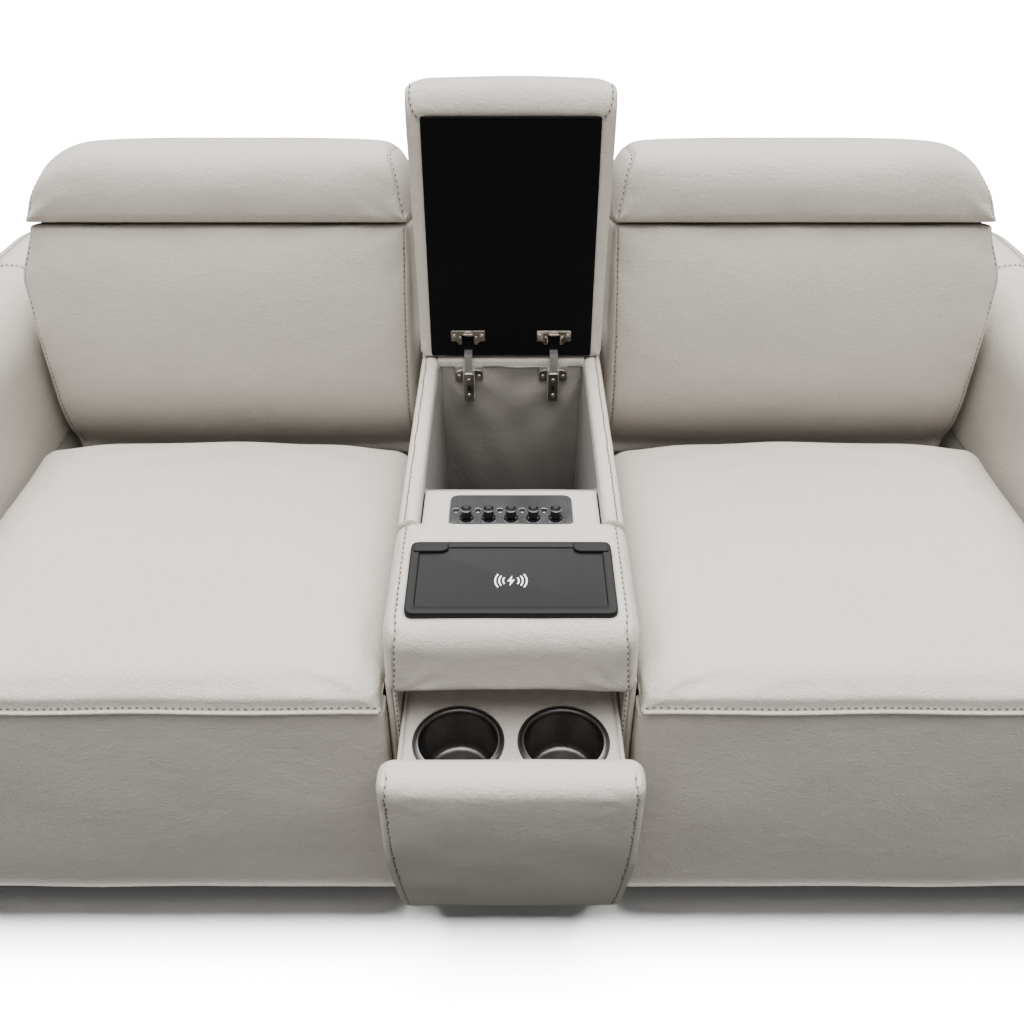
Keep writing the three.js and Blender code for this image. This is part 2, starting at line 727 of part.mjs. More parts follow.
function addCharger(group) {
  const body = roundedPlate(chargerWidth, chargerDepth, chargerHeight, chargerCorner);
  const tray = roundedPlate(chargerWidth - 2 * chargerRim, chargerDepth - 2 * chargerRim, chargerHeight,
    chargerCorner - chargerRim / 2);
  tray.translate(0, 0, chargerFloor);
  const x = chargerWidth / 2 - chargerRim;
  const y = chargerDepth / 2 - chargerRim;
  const corners = sides.map(({ sign }) => span([sign * (x - chargerBlockWidth), sign * (x + restGap)],
    [y - chargerBlockDepth, y + restGap], [chargerFloor - restGap, chargerHeight]));
  const pad = join(cut(body, tray), ...corners);
  piece(group, 'charging_pad', pad.translate(0, chargerDepth / 2, 0), chargerPlastic);
}

function addControls(group) {
  const half = panelInner - restGap;
  const front = noseRear + restGap;
  const plateY = front + plateFrontMargin;
  const block = span([-half, half], [front, blockRear], [blockBottom, blockTop]);
  const buttonY = plateY + buttonInset;
  const places = Array.from({ length: buttonCount }, (_, i) => (i - (buttonCount - 1) / 2) * buttonPitch);
  const well = buttonStem + buttonTravel + restGap;
  const wells = places.map((x) => rodAlongZ(buttonStemRadius + slideGap, [blockTop - well, blockTop + overrun],
    [x, buttonY], buttonSteps));
  piece(group, 'control_block', cut(block, ...wells), liningLeather);

  const bottom = blockTop + restGap;
  const holes = places.map((x) => rodAlongZ(buttonStemRadius + slideGap,
    [blockTop, bottom + plateThickness + overrun], [x, buttonY], buttonSteps));
  const plate = roundedPlate(plateWidth, plateDepth, plateThickness, plateCorner);
  plate.translate(0, plateY + plateDepth / 2, bottom);
  piece(group, 'control_plate', cut(plate, ...holes), gunmetal);

  const seat = bottom + plateThickness + buttonTravel + restGap;
  const foot = seat - plateThickness - buttonStem;
  const top = seat + buttonHeight;
  places.forEach((x, i) => {
    const profile = [
      [0, foot], [buttonStemRadius, foot], [buttonStemRadius, seat], [buttonRadius, seat],
      [buttonRadius, top], [buttonRadius - buttonRim, top],
      [buttonRadius - 2 * buttonRim, top - buttonDish], [0, top - buttonDish],
    ];
    const points = profile.map(([radius, z]) => new THREE.Vector2(radius, z));
    const button = new THREE.LatheGeometry(points, buttonSteps);
    button.rotateX(Math.PI / 2).translate(x, buttonY, 0);
    piece(group, `control_button_${i + 1}`, button, blackPlastic);
  });
}

// Lid: modelled as if shut, with the hinge line at its origin, then opened
const hingeInset = binBackWall / 2;
const hingePlace = [0, binBackFace + hingeInset, rimBack + hingeInset + lidGap];

// What lies outside a round edge about the hinge line, so that the lid clears the bin's back wall
function hingeEdge(radius) {
  const across = [-consoleWidth, consoleWidth];
  const corner = span(across, [0, lidRadius], [-lidRadius, 0]);
  return cut(corner, rodAlongX(radius, [-consoleWidth - overrun, consoleWidth + overrun], [0, 0]));
}

function addLid(group) {
  const lid = placed(group, hingePlace, -(90 + lidLean) * degree);
  const under = -hingeInset;
  const half = consoleWidth / 2;
  const rear = hingeInset;
  const front = rear - lidLength;
  const boardHalf = half - lidBorder;
  const boardTopZ = under + lidHem + lidBoard;
  const pots = sides.map(({ sign }) => span(
    [sign * hingeOffset - cupPotWidth / 2 - restGap, sign * hingeOffset + cupPotWidth / 2 + restGap],
    [-cupPotFront - restGap, cupPotRear + restGap], [under - overrun, under + lidHem + cupPotHeight + restGap]));
  const board = span([-boardHalf, boardHalf], [front + lidBorder, rear - lidEndSkin], [under + lidHem, boardTopZ]);
  piece(lid, 'lid_board', cut(board, ...pots, hingeEdge(rear - lidEndSkin)), felt);

  const full = lidThickness + lidRadius;
  const pad = softBlock([consoleWidth, lidLength, full], lidRadius, softSteps, crowned(lidCrown, 0));
  pad.translate(0, (front + rear) / 2, under - lidRadius + full / 2);
  const base = span([-consoleWidth, consoleWidth], [-consoleDepth, consoleDepth], [-consoleWidth, under]);
  const room = span([-boardHalf - restGap, boardHalf + restGap],
    [front + lidBorder - restGap, rear - lidEndSkin + restGap], [under - overrun, boardTopZ + restGap]);
  piece(lid, 'lid_pad', cut(pad, base, room, hingeEdge(rear)), leather);

  for (const { name, sign } of sides) {
    piece(lid, `hinge_cup_${name}`, hingeCup(under + lidHem).translate(sign * hingeOffset, 0, 0), nickel);
  }
}

function hingeCup(face) {
  const side = cupPotWidth / 2;
  const pot = span([-side, side], [-cupPotFront, cupPotRear], [face - restGap, face + cupPotHeight]);
  const flangeTop = face - restGap;
  const flangeBottom = flangeTop - cupFlangePlate;
  const wings = span([-cupFlangeWidth / 2, cupFlangeWidth / 2],
    [-cupPotFront - cupFlangePlate, -cupPotFront + cupFlangeLength], [flangeBottom, flangeTop + restGap / 2]);
  const neck = span([-cupFlangeNeck / 2, cupFlangeNeck / 2], [-cupPotFront, -hingeInset - cupFlangePlate],
    [flangeBottom, flangeTop + restGap / 2]);
  const hollow = span([-side + cupPotWall, side - cupPotWall],
    [-cupPotFront + cupPotWall, cupPotRear - cupPotWall], [flangeBottom - overrun, face + cupPotHeight - cupPotWall]);
  const pin = rodAlongX(hingePinRadius, [-side + cupPotWall / 2, side - cupPotWall / 2], [0, 0]);
  return join(cut(join(pot, wings, neck), hollow, hingeEdge(hingeInset - restGap)), pin);
}

function addHingeArms(group) {
  const wall = -hingeInset - restGap;
  const side = hingeArmWidth / 2;
  const thick = hingeArmPlate / 2;
  const elbow = -hingeArmReach;
  const bodyTop = elbow;
  const reach = span([-side, side], [elbow, thick], [-thick, thick]);
  const drop = span([-side, side], [elbow, elbow + hingeArmPlate], [bodyTop - hingeArmPlate, thick]);
  const back = span([-hingeBodyWidth / 2, hingeBodyWidth / 2],
    [Math.min(wall - hingeBodyDepth, elbow), wall], [bodyTop - hingeBodyLength, bodyTop]);
  const wings = span([-hingeWingWidth / 2, hingeWingWidth / 2], [wall - hingeWingPlate, wall],
    [bodyTop - hingeWingLength, bodyTop]);
  const eyeHole = boreAlongX(hingePinRadius, [-cupPotWidth, cupPotWidth], [0, 0]);
  for (const { name, sign } of sides) {
    const arm = cut(join(reach, drop, back, wings), eyeHole);
    const place = placed(group, [sign * hingeOffset, hingePlace[1], hingePlace[2]]);
    piece(place, `hinge_arm_${name}`, arm, nickel);
  }
}

// Drawer with two cup holders, drawn in the console's frame as it stands open
const boxOuter = panelInner - restGap - runnerWidth - slideGap;
const trayBottom = trayTop - trayThickness;
const boxTop = trayBottom - restGap;
const drawerStart = drawerBack + restGap;
const cupPlaces = sides.map(({ name, sign }) => ({ name, x: (sign * cupSpacing) / 2, y: drawerBack + cupInset }));

function addDrawerFront(group) {
  const height = drawerFrontTop - drawerFrontBottom;
  const half = consoleWidth / 2 + consoleGap - drawerSideClear;
  const size = [2 * half, height, drawerFrontThickness];
  const front = softBlock(size, drawerFrontRadius, frontSteps, (p, u, v, t) => {
    const z = drawerFrontBottom + ((1 + v) * height) / 2;
    const toeHeight = height - drawerFrontRadius;
    const toe = drawerFrontToe * Math.max(0, (drawerFrontBottom + toeHeight - z) / toeHeight) ** toePower;
    const kneeShare = Math.max(0, (drawerFrontKnee - z) / (drawerFrontKnee - drawerFrontBottom));
    const rearToe = (drawerFrontToe - drawerFrontThickness + drawerFrontFoot) * kneeShare;
    p.z -= t > 0 ? rearToe + (toe - rearToe) * t : rearToe;
  });
  front.rotateX(Math.PI / 2);
  front.translate(0, drawerBack - drawerFrontThickness / 2, drawerFrontBottom + height / 2);
  piece(group, 'drawer_front', front, leather);
}

function addDrawerBox(group) {
  const bottom = boxTop - drawerBoxHeight;
  const end = drawerStart + trayLength;
  const block = span([-boxOuter, boxOuter], [drawerStart, end], [bottom, boxTop]);
  const room = span([-boxOuter + drawerWall, boxOuter - drawerWall],
    [drawerStart + drawerWall, end - drawerWall], [bottom + drawerWall, boxTop + overrun]);
  piece(group, 'drawer_box', cut(block, room), plywood);

  const half = panelInner - 2 * slideGap;
  const tray = span([-half, half], [drawerStart, end], [trayBottom, trayTop]);
  const holes = cupPlaces.map(({ x, y }) => rodAlongZ(cupRadius + cupWall + slideGap,
    [trayBottom - overrun, trayTop + overrun], [x, y], cupSteps));
  piece(group, 'drawer_tray', cut(tray, ...holes), leather);
}

function addCups(group) {
  const outer = cupRadius + cupWall;
  const seat = trayTop + restGap;
  const bottom = seat - cupDepth;
  const profile = [
    [0, bottom], [outer, bottom], [outer, seat], [cupFlange, seat], [cupFlange, seat + cupRimHeight],
    [cupRadius, seat + cupRimHeight], [cupRadius, bottom + cupWall], [0, bottom + cupWall],
  ];
  const points = profile.map(([radius, z]) => new THREE.Vector2(radius, z));
  for (const { name, x, y } of cupPlaces) {
    const cup = new THREE.LatheGeometry(points, cupSteps);
    piece(group, `cup_${name}`, cup.rotateX(Math.PI / 2).translate(x, y, 0), gunmetal);
  }
}

function addRunners(group) {
  const top = trayBottom - runnerDrop;
  for (const { name, sign } of sides) {
    const x = [sign * (panelInner - restGap), sign * (panelInner - restGap - runnerWidth)];
    const runner = span(x, [legFront + restGap, blockRear], [top - runnerHeight, top]);
    piece(group, `drawer_runner_${name}`, runner, brushedSteel);
  }
}

function addConsole(sofa) {
  const group = placed(sofa, [0, 0, 0]);
  addConsoleSides(group);
  addConsoleRear(group);
  addStorageBin(group);
  addNose(group);
  addControls(group);
  addLid(group);
  addHingeArms(group);
  addDrawerFront(group);
  addDrawerBox(group);
  addCups(group);
  addRunners(group);
}

// The whole sofa stands with the middle of its floor plan at the origin
const foremost = drawerBack - drawerFrontThickness;
const sofa = new THREE.Group();
const body = placed(sofa, [0, -(foremost + armDepth) / 2, 0]);
for (const side of sides) {
  addArm(body, side);
  addSeat(body, side);
}
addConsole(body);

export default sofa;
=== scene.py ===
import math

import bpy
import numpy as np
from mathutils import Matrix, Vector, noise
from mathutils.bvhtree import BVHTree


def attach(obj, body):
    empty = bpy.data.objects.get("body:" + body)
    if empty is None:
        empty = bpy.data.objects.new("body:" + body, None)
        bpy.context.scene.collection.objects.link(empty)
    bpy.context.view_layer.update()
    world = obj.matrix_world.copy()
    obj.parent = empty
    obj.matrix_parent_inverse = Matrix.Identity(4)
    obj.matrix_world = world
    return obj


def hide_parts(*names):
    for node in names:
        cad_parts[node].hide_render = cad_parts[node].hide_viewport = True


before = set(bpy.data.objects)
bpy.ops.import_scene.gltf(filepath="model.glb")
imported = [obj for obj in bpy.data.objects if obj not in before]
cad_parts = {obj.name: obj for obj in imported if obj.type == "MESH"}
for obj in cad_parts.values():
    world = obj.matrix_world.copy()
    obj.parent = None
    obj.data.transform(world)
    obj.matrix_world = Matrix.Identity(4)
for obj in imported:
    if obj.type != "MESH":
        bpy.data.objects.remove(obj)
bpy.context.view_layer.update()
SIDES = (("left", -1), ("right", 1))

# Camera
CAMERA_PLACE = (0, -1.1942, 1.2669)
CAMERA_PITCH = math.radians(36.3)
CAMERA_LENS = 33.76
CAMERA_SHIFT = (0.001, 0)


def set_camera():
    camera = bpy.data.objects.new("camera", bpy.data.cameras.new("camera"))
    bpy.context.scene.collection.objects.link(camera)
    camera.location = CAMERA_PLACE
    camera.rotation_euler = (math.pi / 2 - CAMERA_PITCH, 0, 0)
    camera.data.sensor_width = 36
    camera.data.lens = CAMERA_LENS
    camera.data.shift_x, camera.data.shift_y = CAMERA_SHIFT
    bpy.context.scene.camera = camera


set_camera()


# Shader expressions
class Value:
    """A number that changes over a surface."""

    def __init__(self, finish, socket):
        self.finish, self.socket = finish, socket

    def math(self, operation, *others, swap=False):
        terms = [*others, self] if swap else [self, *others]
        return self.finish.node("ShaderNodeMath", {"operation": operation}, dict(enumerate(terms)))

    def __add__(self, other):
        return self.math("ADD", other)

    def __sub__(self, other):
        return self.math("SUBTRACT", other)

    def __rsub__(self, other):
        return self.math("SUBTRACT", other, swap=True)

    def __mul__(self, other):
        return self.math("MULTIPLY", other)

    def __truediv__(self, other):
        return self.math("DIVIDE", other)

    def clip(self):
        return self.math("MINIMUM", 1).math("MAXIMUM", 0)

    __radd__ = __add__
    __rmul__ = __mul__


class Finish:
    """A material made of nodes. Fixed numbers go on the surface shader's own sockets."""

    def __init__(self, name):
        self.material = bpy.data.materials.new(name)
        self.material.use_nodes = True
        self.tree = self.material.node_tree
        self.tree.nodes.clear()
        self.coordinates = self.node("ShaderNodeTexCoord", output="Object")

    def node(self, kind, settings=None, inputs=None, output=0):
        node = self.tree.nodes.new(kind)
        for key, value in (settings or {}).items():
            if key == "stops":
                self.set_stops(node.color_ramp, value)
            else:
                setattr(node, key, value)
        for key, value in (inputs or {}).items():
            if isinstance(value, Value):
                self.tree.links.new(value.socket, node.inputs[key])
            else:
                node.inputs[key].default_value = value
        return Value(self, node.outputs[output]) if len(node.outputs) else None

    @staticmethod
    def set_stops(ramp, stops):
        while len(ramp.elements) < len(stops):
            ramp.elements.new(1)
        for element, (position, level) in zip(ramp.elements, stops):
            element.position, element.color = position, (level, level, level, 1)

    def noise(self, scale, detail=2, roughness=0.5, place=None):
        inputs = {"Scale": scale, "Detail": detail, "Roughness": roughness}
        return self.node("ShaderNodeTexNoise", inputs={"Vector": place or self.coordinates, **inputs})

    def cells(self, scale, feature="F1", place=None):
        inputs = {"Vector": place or self.coordinates, "Scale": scale}
        return self.node("ShaderNodeTexVoronoi", {"feature": feature}, inputs)

    def stretched(self, scale):
        return self.node("ShaderNodeMapping", inputs={"Vector": self.coordinates, "Scale": scale})

    def ramp(self, value, stops):
        return self.node("ShaderNodeValToRGB", {"stops": stops}, {"Fac": value})

    def mix(self, share, first, second):
        inputs = {0: share, 6: self.colour(first), 7: self.colour(second)}
        return self.node("ShaderNodeMix", {"data_type": "RGBA"}, inputs, 2)

    @staticmethod
    def colour(value):
        return value if isinstance(value, Value) else (*value, 1)

    def bump(self, height, distance, strength=1.0):
        inputs = {"Height": height, "Distance": distance, "Strength": strength}
        return self.node("ShaderNodeBump", inputs=inputs)

    # Reads a point attribute. The seams use it: along them the leather is painted darker, as dirt and as
    # painted shade in the seam creases.
    def worn(self, name):
        return self.node("ShaderNodeAttribute", {"attribute_name": name}, output="Fac")

    def surface(self, **sockets):
        inputs = {key.replace("_", " "): value for key, value in sockets.items()}
        shader = self.node("ShaderNodeBsdfPrincipled", inputs=inputs)
        self.node("ShaderNodeOutputMaterial", inputs={"Surface": shader})
        return self.material


def tone(colour, factor):
    return tuple(c * factor for c in colour)


# Finishes
LEATHER = (0.48, 0.440, 0.390)
# The bin lining's tone is the greige leather darkened to about half: painted shade for the inside of the bin.
LINING_IN_PAINTED_SHADE = (0.23, 0.211, 0.189)
THREAD = (0.080, 0.056, 0.037)


def leather_finish(name, base, rough=0.5, grain=1.0, painted_shade=None):
    """The dusk argument gives the heights between which the leather is painted darker towards the lower, as
    painted shade, and what is left of its tone at the lower.
    """
    f = Finish(name)
    drift = f.noise(9, 3)
    jitter = f.node("ShaderNodeTexNoise", inputs={"Vector": f.coordinates, "Scale": 260.0}, output="Color")
    warp = f.node("ShaderNodeVectorMath", {"operation": "MULTIPLY_ADD"},
                  {0: jitter, 1: (0.0011, 0.0011, 0.0011), 2: f.coordinates})
    pebble = f.cells(620, "SMOOTH_F1", warp)
    coarse = f.cells(270, "F1", warp)
    valley = f.ramp(f.cells(330, "DISTANCE_TO_EDGE", warp), [(0, 1), (0.12, 0)])
    fibre = f.noise(1400, 2)
    wrinkle = f.noise(170, 4, 0.55)
    height = 1 - pebble * 0.75 - coarse * 0.45 - valley * 0.35 + fibre * 0.18 + wrinkle * 1.5
    height = height + f.noise(38, 3, 0.5) * 2.6
    seam = f.worn("seam")
    shade = f.mix(drift, tone(base, 0.965), tone(base, 1.03))
    shade = f.mix(f.noise(70, 2) * 0.5, shade, tone(base, 0.95))
    shade = f.mix(valley * 0.16, shade, tone(base, 0.62))
    # Painted shade and dirt: the leather is darkened along its sewn seams.
    shade = f.mix(seam * 0.55, shade, tone(base, 0.42))
    # Painted shade: the tone darkens towards the bottom between the two heights.
    if painted_shade:
        height_up = f.node("ShaderNodeSeparateXYZ", inputs={0: f.coordinates}, output="Z")
        level = ((height_up - painted_shade[0]) / (painted_shade[1] - painted_shade[0])).clip()
        shade = f.mix(level, tone(base, painted_shade[2]), shade)
    roughness = rough + (drift - 0.5) * 0.10 + valley * 0.08 - (pebble - 0.4) * 0.05
    return f.surface(Base_Color=shade, Roughness=roughness, Normal=f.bump(height, 0.00070 * grain, 0.9),
                     Specular_IOR_Level=0.5, Sheen_Weight=0.06, Sheen_Roughness=0.5)


def felt_finish():
    f = Finish("black_felt")
    nap = f.noise(900, 4, 0.7)
    tuft = f.noise(160, 3)
    shade = f.mix(nap * 0.6 + tuft * 0.3, (0.0012, 0.0012, 0.0013), (0.0048, 0.0048, 0.0052))
    height = nap * 0.7 + tuft * 0.3
    return f.surface(Base_Color=shade, Roughness=0.9 + nap * 0.1, Normal=f.bump(height, 0.0006, 0.8),
                     Specular_IOR_Level=0.06, Sheen_Weight=0.01, Sheen_Roughness=0.6)


def thread_finish():
    f = Finish("taupe_thread")
    twist = f.node("ShaderNodeTexWave", {"bands_direction": "DIAGONAL"},
                   {"Vector": f.coordinates, "Scale": 900.0, "Distortion": 1.0}, "Fac")
    shade = f.mix(twist * 0.6 + f.noise(40) * 0.4, tone(THREAD, 0.7), tone(THREAD, 1.3))
    return f.surface(Base_Color=shade, Roughness=0.6 + twist * 0.2, Normal=f.bump(twist, 0.0002, 0.6))


BRUSHED, SMUDGED = 0.15, 0.06  # how far a metal's roughness varies with its lines and with handling


def metal_finish(name, base, rough, metallic=1.0):
    f = Finish(name)
    lines = f.noise(1.0, 4, 0.65, f.stretched((60, 60, 900)))
    smudge = f.noise(35, 3)
    shade = f.mix(lines * 0.6 + smudge * 0.3, tone(base, 0.82), tone(base, 1.12))
    roughness = rough + (lines - 0.5) * BRUSHED + (smudge - 0.5) * SMUDGED
    return f.surface(Base_Color=shade, Roughness=roughness, Metallic=metallic,
                     Normal=f.bump(lines, 0.00008, 0.35))


def plastic_finish(name, base, rough):
    f = Finish(name)
    spark = f.cells(1500)
    cloud = f.noise(25, 3)
    shade = f.mix(cloud, tone(base, 0.85), tone(base, 1.15))
    return f.surface(Base_Color=shade, Roughness=rough + (cloud - 0.5) * 0.1,
                     Normal=f.bump(spark, 0.00008, 0.5))


def charger_finish():
    f = Finish("charging_pad_plastic")
    streak = f.noise(1.0, 5, 0.7, f.stretched((520, 7, 7)))
    broad = f.noise(1.0, 3, 0.5, f.stretched((90, 3, 3)))
    shade = f.mix(streak * 0.65 + broad * 0.35, (0.0012, 0.0013, 0.0014), (0.0110, 0.0112, 0.0118))
    return f.surface(Base_Color=shade, Roughness=0.46 + streak * 0.18, Normal=f.bump(streak, 0.00014, 0.5),
                     Specular_IOR_Level=0.2)


def plate_finish():
    f = Finish("polished_plate")
    haze = f.noise(22, 3)
    shade = f.mix(haze, (0.34, 0.34, 0.35), (0.55, 0.55, 0.56))
    return f.surface(Base_Color=shade, Roughness=0.10 + haze * 0.08, Metallic=0.93,
                     Normal=f.bump(haze, 0.0004, 0.15), Coat_Weight=0.4)


def gloss_finish():
    f = Finish("gloss_black")
    haze = f.noise(60, 2)
    return f.surface(Base_Color=f.mix(haze, (0.002, 0.002, 0.0024), (0.006, 0.006, 0.0066)),
                     Roughness=0.20 + haze * 0.10, Specular_IOR_Level=0.18)


def plywood_finish():
    f = Finish("birch_plywood")
    rings = f.node("ShaderNodeTexWave", {"bands_direction": "Z"},
                   {"Vector": f.stretched((2, 2, 30)), "Scale": 3.0, "Distortion": 3.5, "Detail": 3.0}, "Fac")
    fibre = f.noise(1.0, 4, 0.6, f.stretched((12, 300, 300)))
    shade = f.mix(rings * 0.5 + fibre * 0.5, (0.40, 0.27, 0.155), (0.66, 0.50, 0.33))
    return f.surface(Base_Color=shade, Roughness=0.55 + fibre * 0.2, Normal=f.bump(fibre, 0.0003, 0.4))


def sign_finish():
    f = Finish("printed_sign")
    wear = f.noise(700, 3)
    shade = f.mix(wear, (0.72, 0.72, 0.72), (0.86, 0.86, 0.86))
    return f.surface(Base_Color=shade, Roughness=0.5 + wear * 0.1)


def cup_finish():
    f = Finish("brushed_cup_painted_reflection")
    lines = f.noise(1.0, 5, 0.7, f.stretched((420, 420, 5)))
    # Painted reflection: broad bright and dark bands round the cup. The fine lines are its brushing.
    broad = f.noise(1.0, 3, 0.5, f.stretched((38, 38, 2)))
    shade = f.mix(lines * 0.5 + broad * 0.5, (0.035, 0.034, 0.033), (0.24, 0.232, 0.224))
    return f.surface(Base_Color=shade, Roughness=0.27 + lines * 0.15, Metallic=1.0,
                     Normal=f.bump(lines, 0.00006, 0.4))


leather = leather_finish("greige_leather", LEATHER, 0.45)
# The bin lining: painted shade, darker overall and darker still from 0.52 m down to 0.30 m.
lining_in_painted_shade = leather_finish("lining_leather", LINING_IN_PAINTED_SHADE, 0.6, 0.7, (0.30, 0.52, 0.30))
felt = felt_finish()
thread = thread_finish()
nickel = metal_finish("satin_nickel", (0.46, 0.42, 0.37), 0.20)
link_steel = metal_finish("link_steel", (0.86, 0.84, 0.81), 0.38)
screw_steel = metal_finish("screw_steel", (0.42, 0.40, 0.37), 0.35)
bright_steel = metal_finish("bright_steel", (0.56, 0.55, 0.54), 0.34)
gunmetal = metal_finish("gunmetal", (0.10, 0.10, 0.105), 0.28)
painted_steel = metal_finish("painted_steel", (0.03, 0.03, 0.032), 0.45, metallic=0.35)
black_plastic = plastic_finish("black_plastic", (0.016, 0.016, 0.017), 0.5)
charger_plastic = charger_finish()
polished = plate_finish()
gloss = gloss_finish()
plywood = plywood_finish()
sign_white = sign_finish()
brushed_cup_painted_reflection = cup_finish()


# Meshes
def solid(name, points, faces, material=None):
    mesh = bpy.data.meshes.new(name)
    mesh.from_pydata([tuple(p) for p in points], [], [tuple(f) for f in faces])
    mesh.polygons.foreach_set("use_smooth", [True] * len(mesh.polygons))
    obj = bpy.data.objects.new(name, mesh)
    bpy.context.scene.collection.objects.link(obj)
    if material:
        mesh.materials.append(material)
    return obj


def coordinates(mesh, kind="co"):
    flat = np.zeros(len(mesh.vertices) * 3, np.float32)
    mesh.vertices.foreach_get(kind, flat)
    return flat.reshape(-1, 3).astype(float)


def set_coordinates(mesh, points):
    mesh.vertices.foreach_set("co", np.asarray(points, np.float32).ravel())
    mesh.update()


def applied(obj):
    """The object with its modifiers worked into its mesh."""
    graph = bpy.context.evaluated_depsgraph_get()
    mesh = bpy.data.meshes.new_from_object(obj.evaluated_get(graph), depsgraph=graph)
    obj.modifiers.clear()
    old = obj.data
    obj.data = mesh
    bpy.data.meshes.remove(old)
    mesh.name = obj.name
    return obj


def extent(name, place=None):
    """Lowest and highest corner of a CAD node in a place's own directions."""
    back = place.inverted() if place else Matrix.Identity(4)
    points = np.array([back @ v.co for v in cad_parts[name].data.vertices])
    return points.min(0), points.max(0)


def smoothstep(value, start, end):
    share = np.clip((value - start) / (end - start), 0, 1)
    return share * share * (3 - 2 * share)


# Leather blocks
class Block:
    """A closed block on a lattice of rows. Sides, front and rear take a rounding at foot and top each."""

    def __init__(self, low, high, rows, rim, side, front, rear, foot, top, shape=None):
        rows, rim = np.array(rows), np.array(rim)
        if (rows <= 2 * rim).any():
            raise ValueError("a block needs more rows than its two rims take")
        axes = [np.arange(n + 1) for n in rows]
        grid = np.stack(np.meshgrid(*axes, indexing="ij"), -1).reshape(-1, 3)
        grid = grid[((grid == 0) | (grid == rows)).any(1)]
        self.rows, self.grid = rows, grid
        self.at = np.full(rows + 1, -1)
        self.at[tuple(grid.T)] = np.arange(len(grid))
        self.faces = self.find_faces()
        rise = smoothstep(grid[:, 2] / rows[2], 0, 1)
        across, ahead, behind = (pair[0] + (pair[1] - pair[0]) * rise for pair in (side, front, rear))
        near = np.stack([across, ahead, np.full(len(grid), foot)], 1)
        far = np.stack([across, behind, np.full(len(grid), top)], 1)
        low, high = np.array(low), np.array(high)
        flat = np.clip((grid - rim) / (rows - 2 * rim), 0, 1)
        points = low + near + (high - far - low - near) * flat
        out = np.clip((grid - rows) / rim + 1, 0, None) - np.clip(1 - grid / rim, 0, None)
        out /= np.linalg.norm(out, axis=1)[:, None]
        self.points = points + np.where(out < 0, near, far) * out
        if shape:
            middle, half = (low + high) / 2, (high - low) / 2
            shape(self.points, *np.clip((self.points - middle) / half, -1, 1).T)

    def find_faces(self):
        faces = []
        for axis in range(3):
            a, b = (axis + 1) % 3, (axis + 2) % 3
            ia, ib = np.meshgrid(np.arange(self.rows[a]), np.arange(self.rows[b]), indexing="ij")
            for end in (0, self.rows[axis]):
                corners = []
                for da, db in ((0, 0), (1, 0), (1, 1), (0, 1)):
                    key = [None] * 3
                    key[axis], key[a], key[b] = np.full(ia.shape, end), ia + da, ib + db
                    corners.append(self.at[tuple(key)])
                quads = np.stack(corners, -1).reshape(-1, 4)
                faces.append(quads if end else quads[:, ::-1])
        return np.concatenate(faces)

    def line(self, *corners):
        """The lattice points on the way from corner to corner; -1 counts from the far end."""
        corners = [[c if c >= 0 else int(n) + 1 + c for c, n in zip(corner, self.rows)] for corner in corners]
        path = [tuple(corners[0])]
        for goal in corners[1:]:
            while path[-1] != tuple(goal):
                step = np.sign(np.array(goal) - path[-1])
                path.append(tuple(int(v) for v in np.array(path[-1]) + step))
        found = [int(self.at[p]) for p in path]
        if min(found) < 0:
            raise ValueError("the line leaves the block's surface")
        return found


SWELL_FRAMES = 16
SWELL_PRESSURE = 4.0
SWELL_STIFFNESS = 25.0
SWELL_CAP = 0.004  # the furthest that it moves the leather


def swell(obj, held):
    """Blows the block up a little as cloth, so that its leather pulls between what holds it."""
    rest = coordinates(obj.data)
    group = obj.vertex_groups.new(name="held")
    group.add([int(i) for i in held], 1.0, "ADD")
    cloth = obj.modifiers.new("swell", "CLOTH")
    settings = cloth.settings
    settings.quality = 5
    settings.mass = 0.3
    settings.tension_stiffness = settings.compression_stiffness = SWELL_STIFFNESS
    settings.shear_stiffness = SWELL_STIFFNESS / 3
    settings.bending_stiffness = 0.6
    settings.vertex_group_mass = "held"
    settings.use_pressure = True
    settings.uniform_pressure_force = SWELL_PRESSURE
    settings.effector_weights.gravity = 0
    cloth.point_cache.frame_start, cloth.point_cache.frame_end = 1, SWELL_FRAMES
    for number in range(1, SWELL_FRAMES + 1):
        bpy.context.scene.frame_set(number)
    applied(obj)
    bpy.context.scene.frame_set(1)
    moved = coordinates(obj.data) - rest
    length = np.linalg.norm(moved, axis=1)[:, None]
    moved *= np.minimum(1, SWELL_CAP / np.maximum(length, 1e-9))
    set_coordinates(obj.data, rest + moved)
    obj.vertex_groups.clear()


PINCH = 0.5  # how far the leather beside a seam is drawn towards it
SEAM_CREASE = 0.8


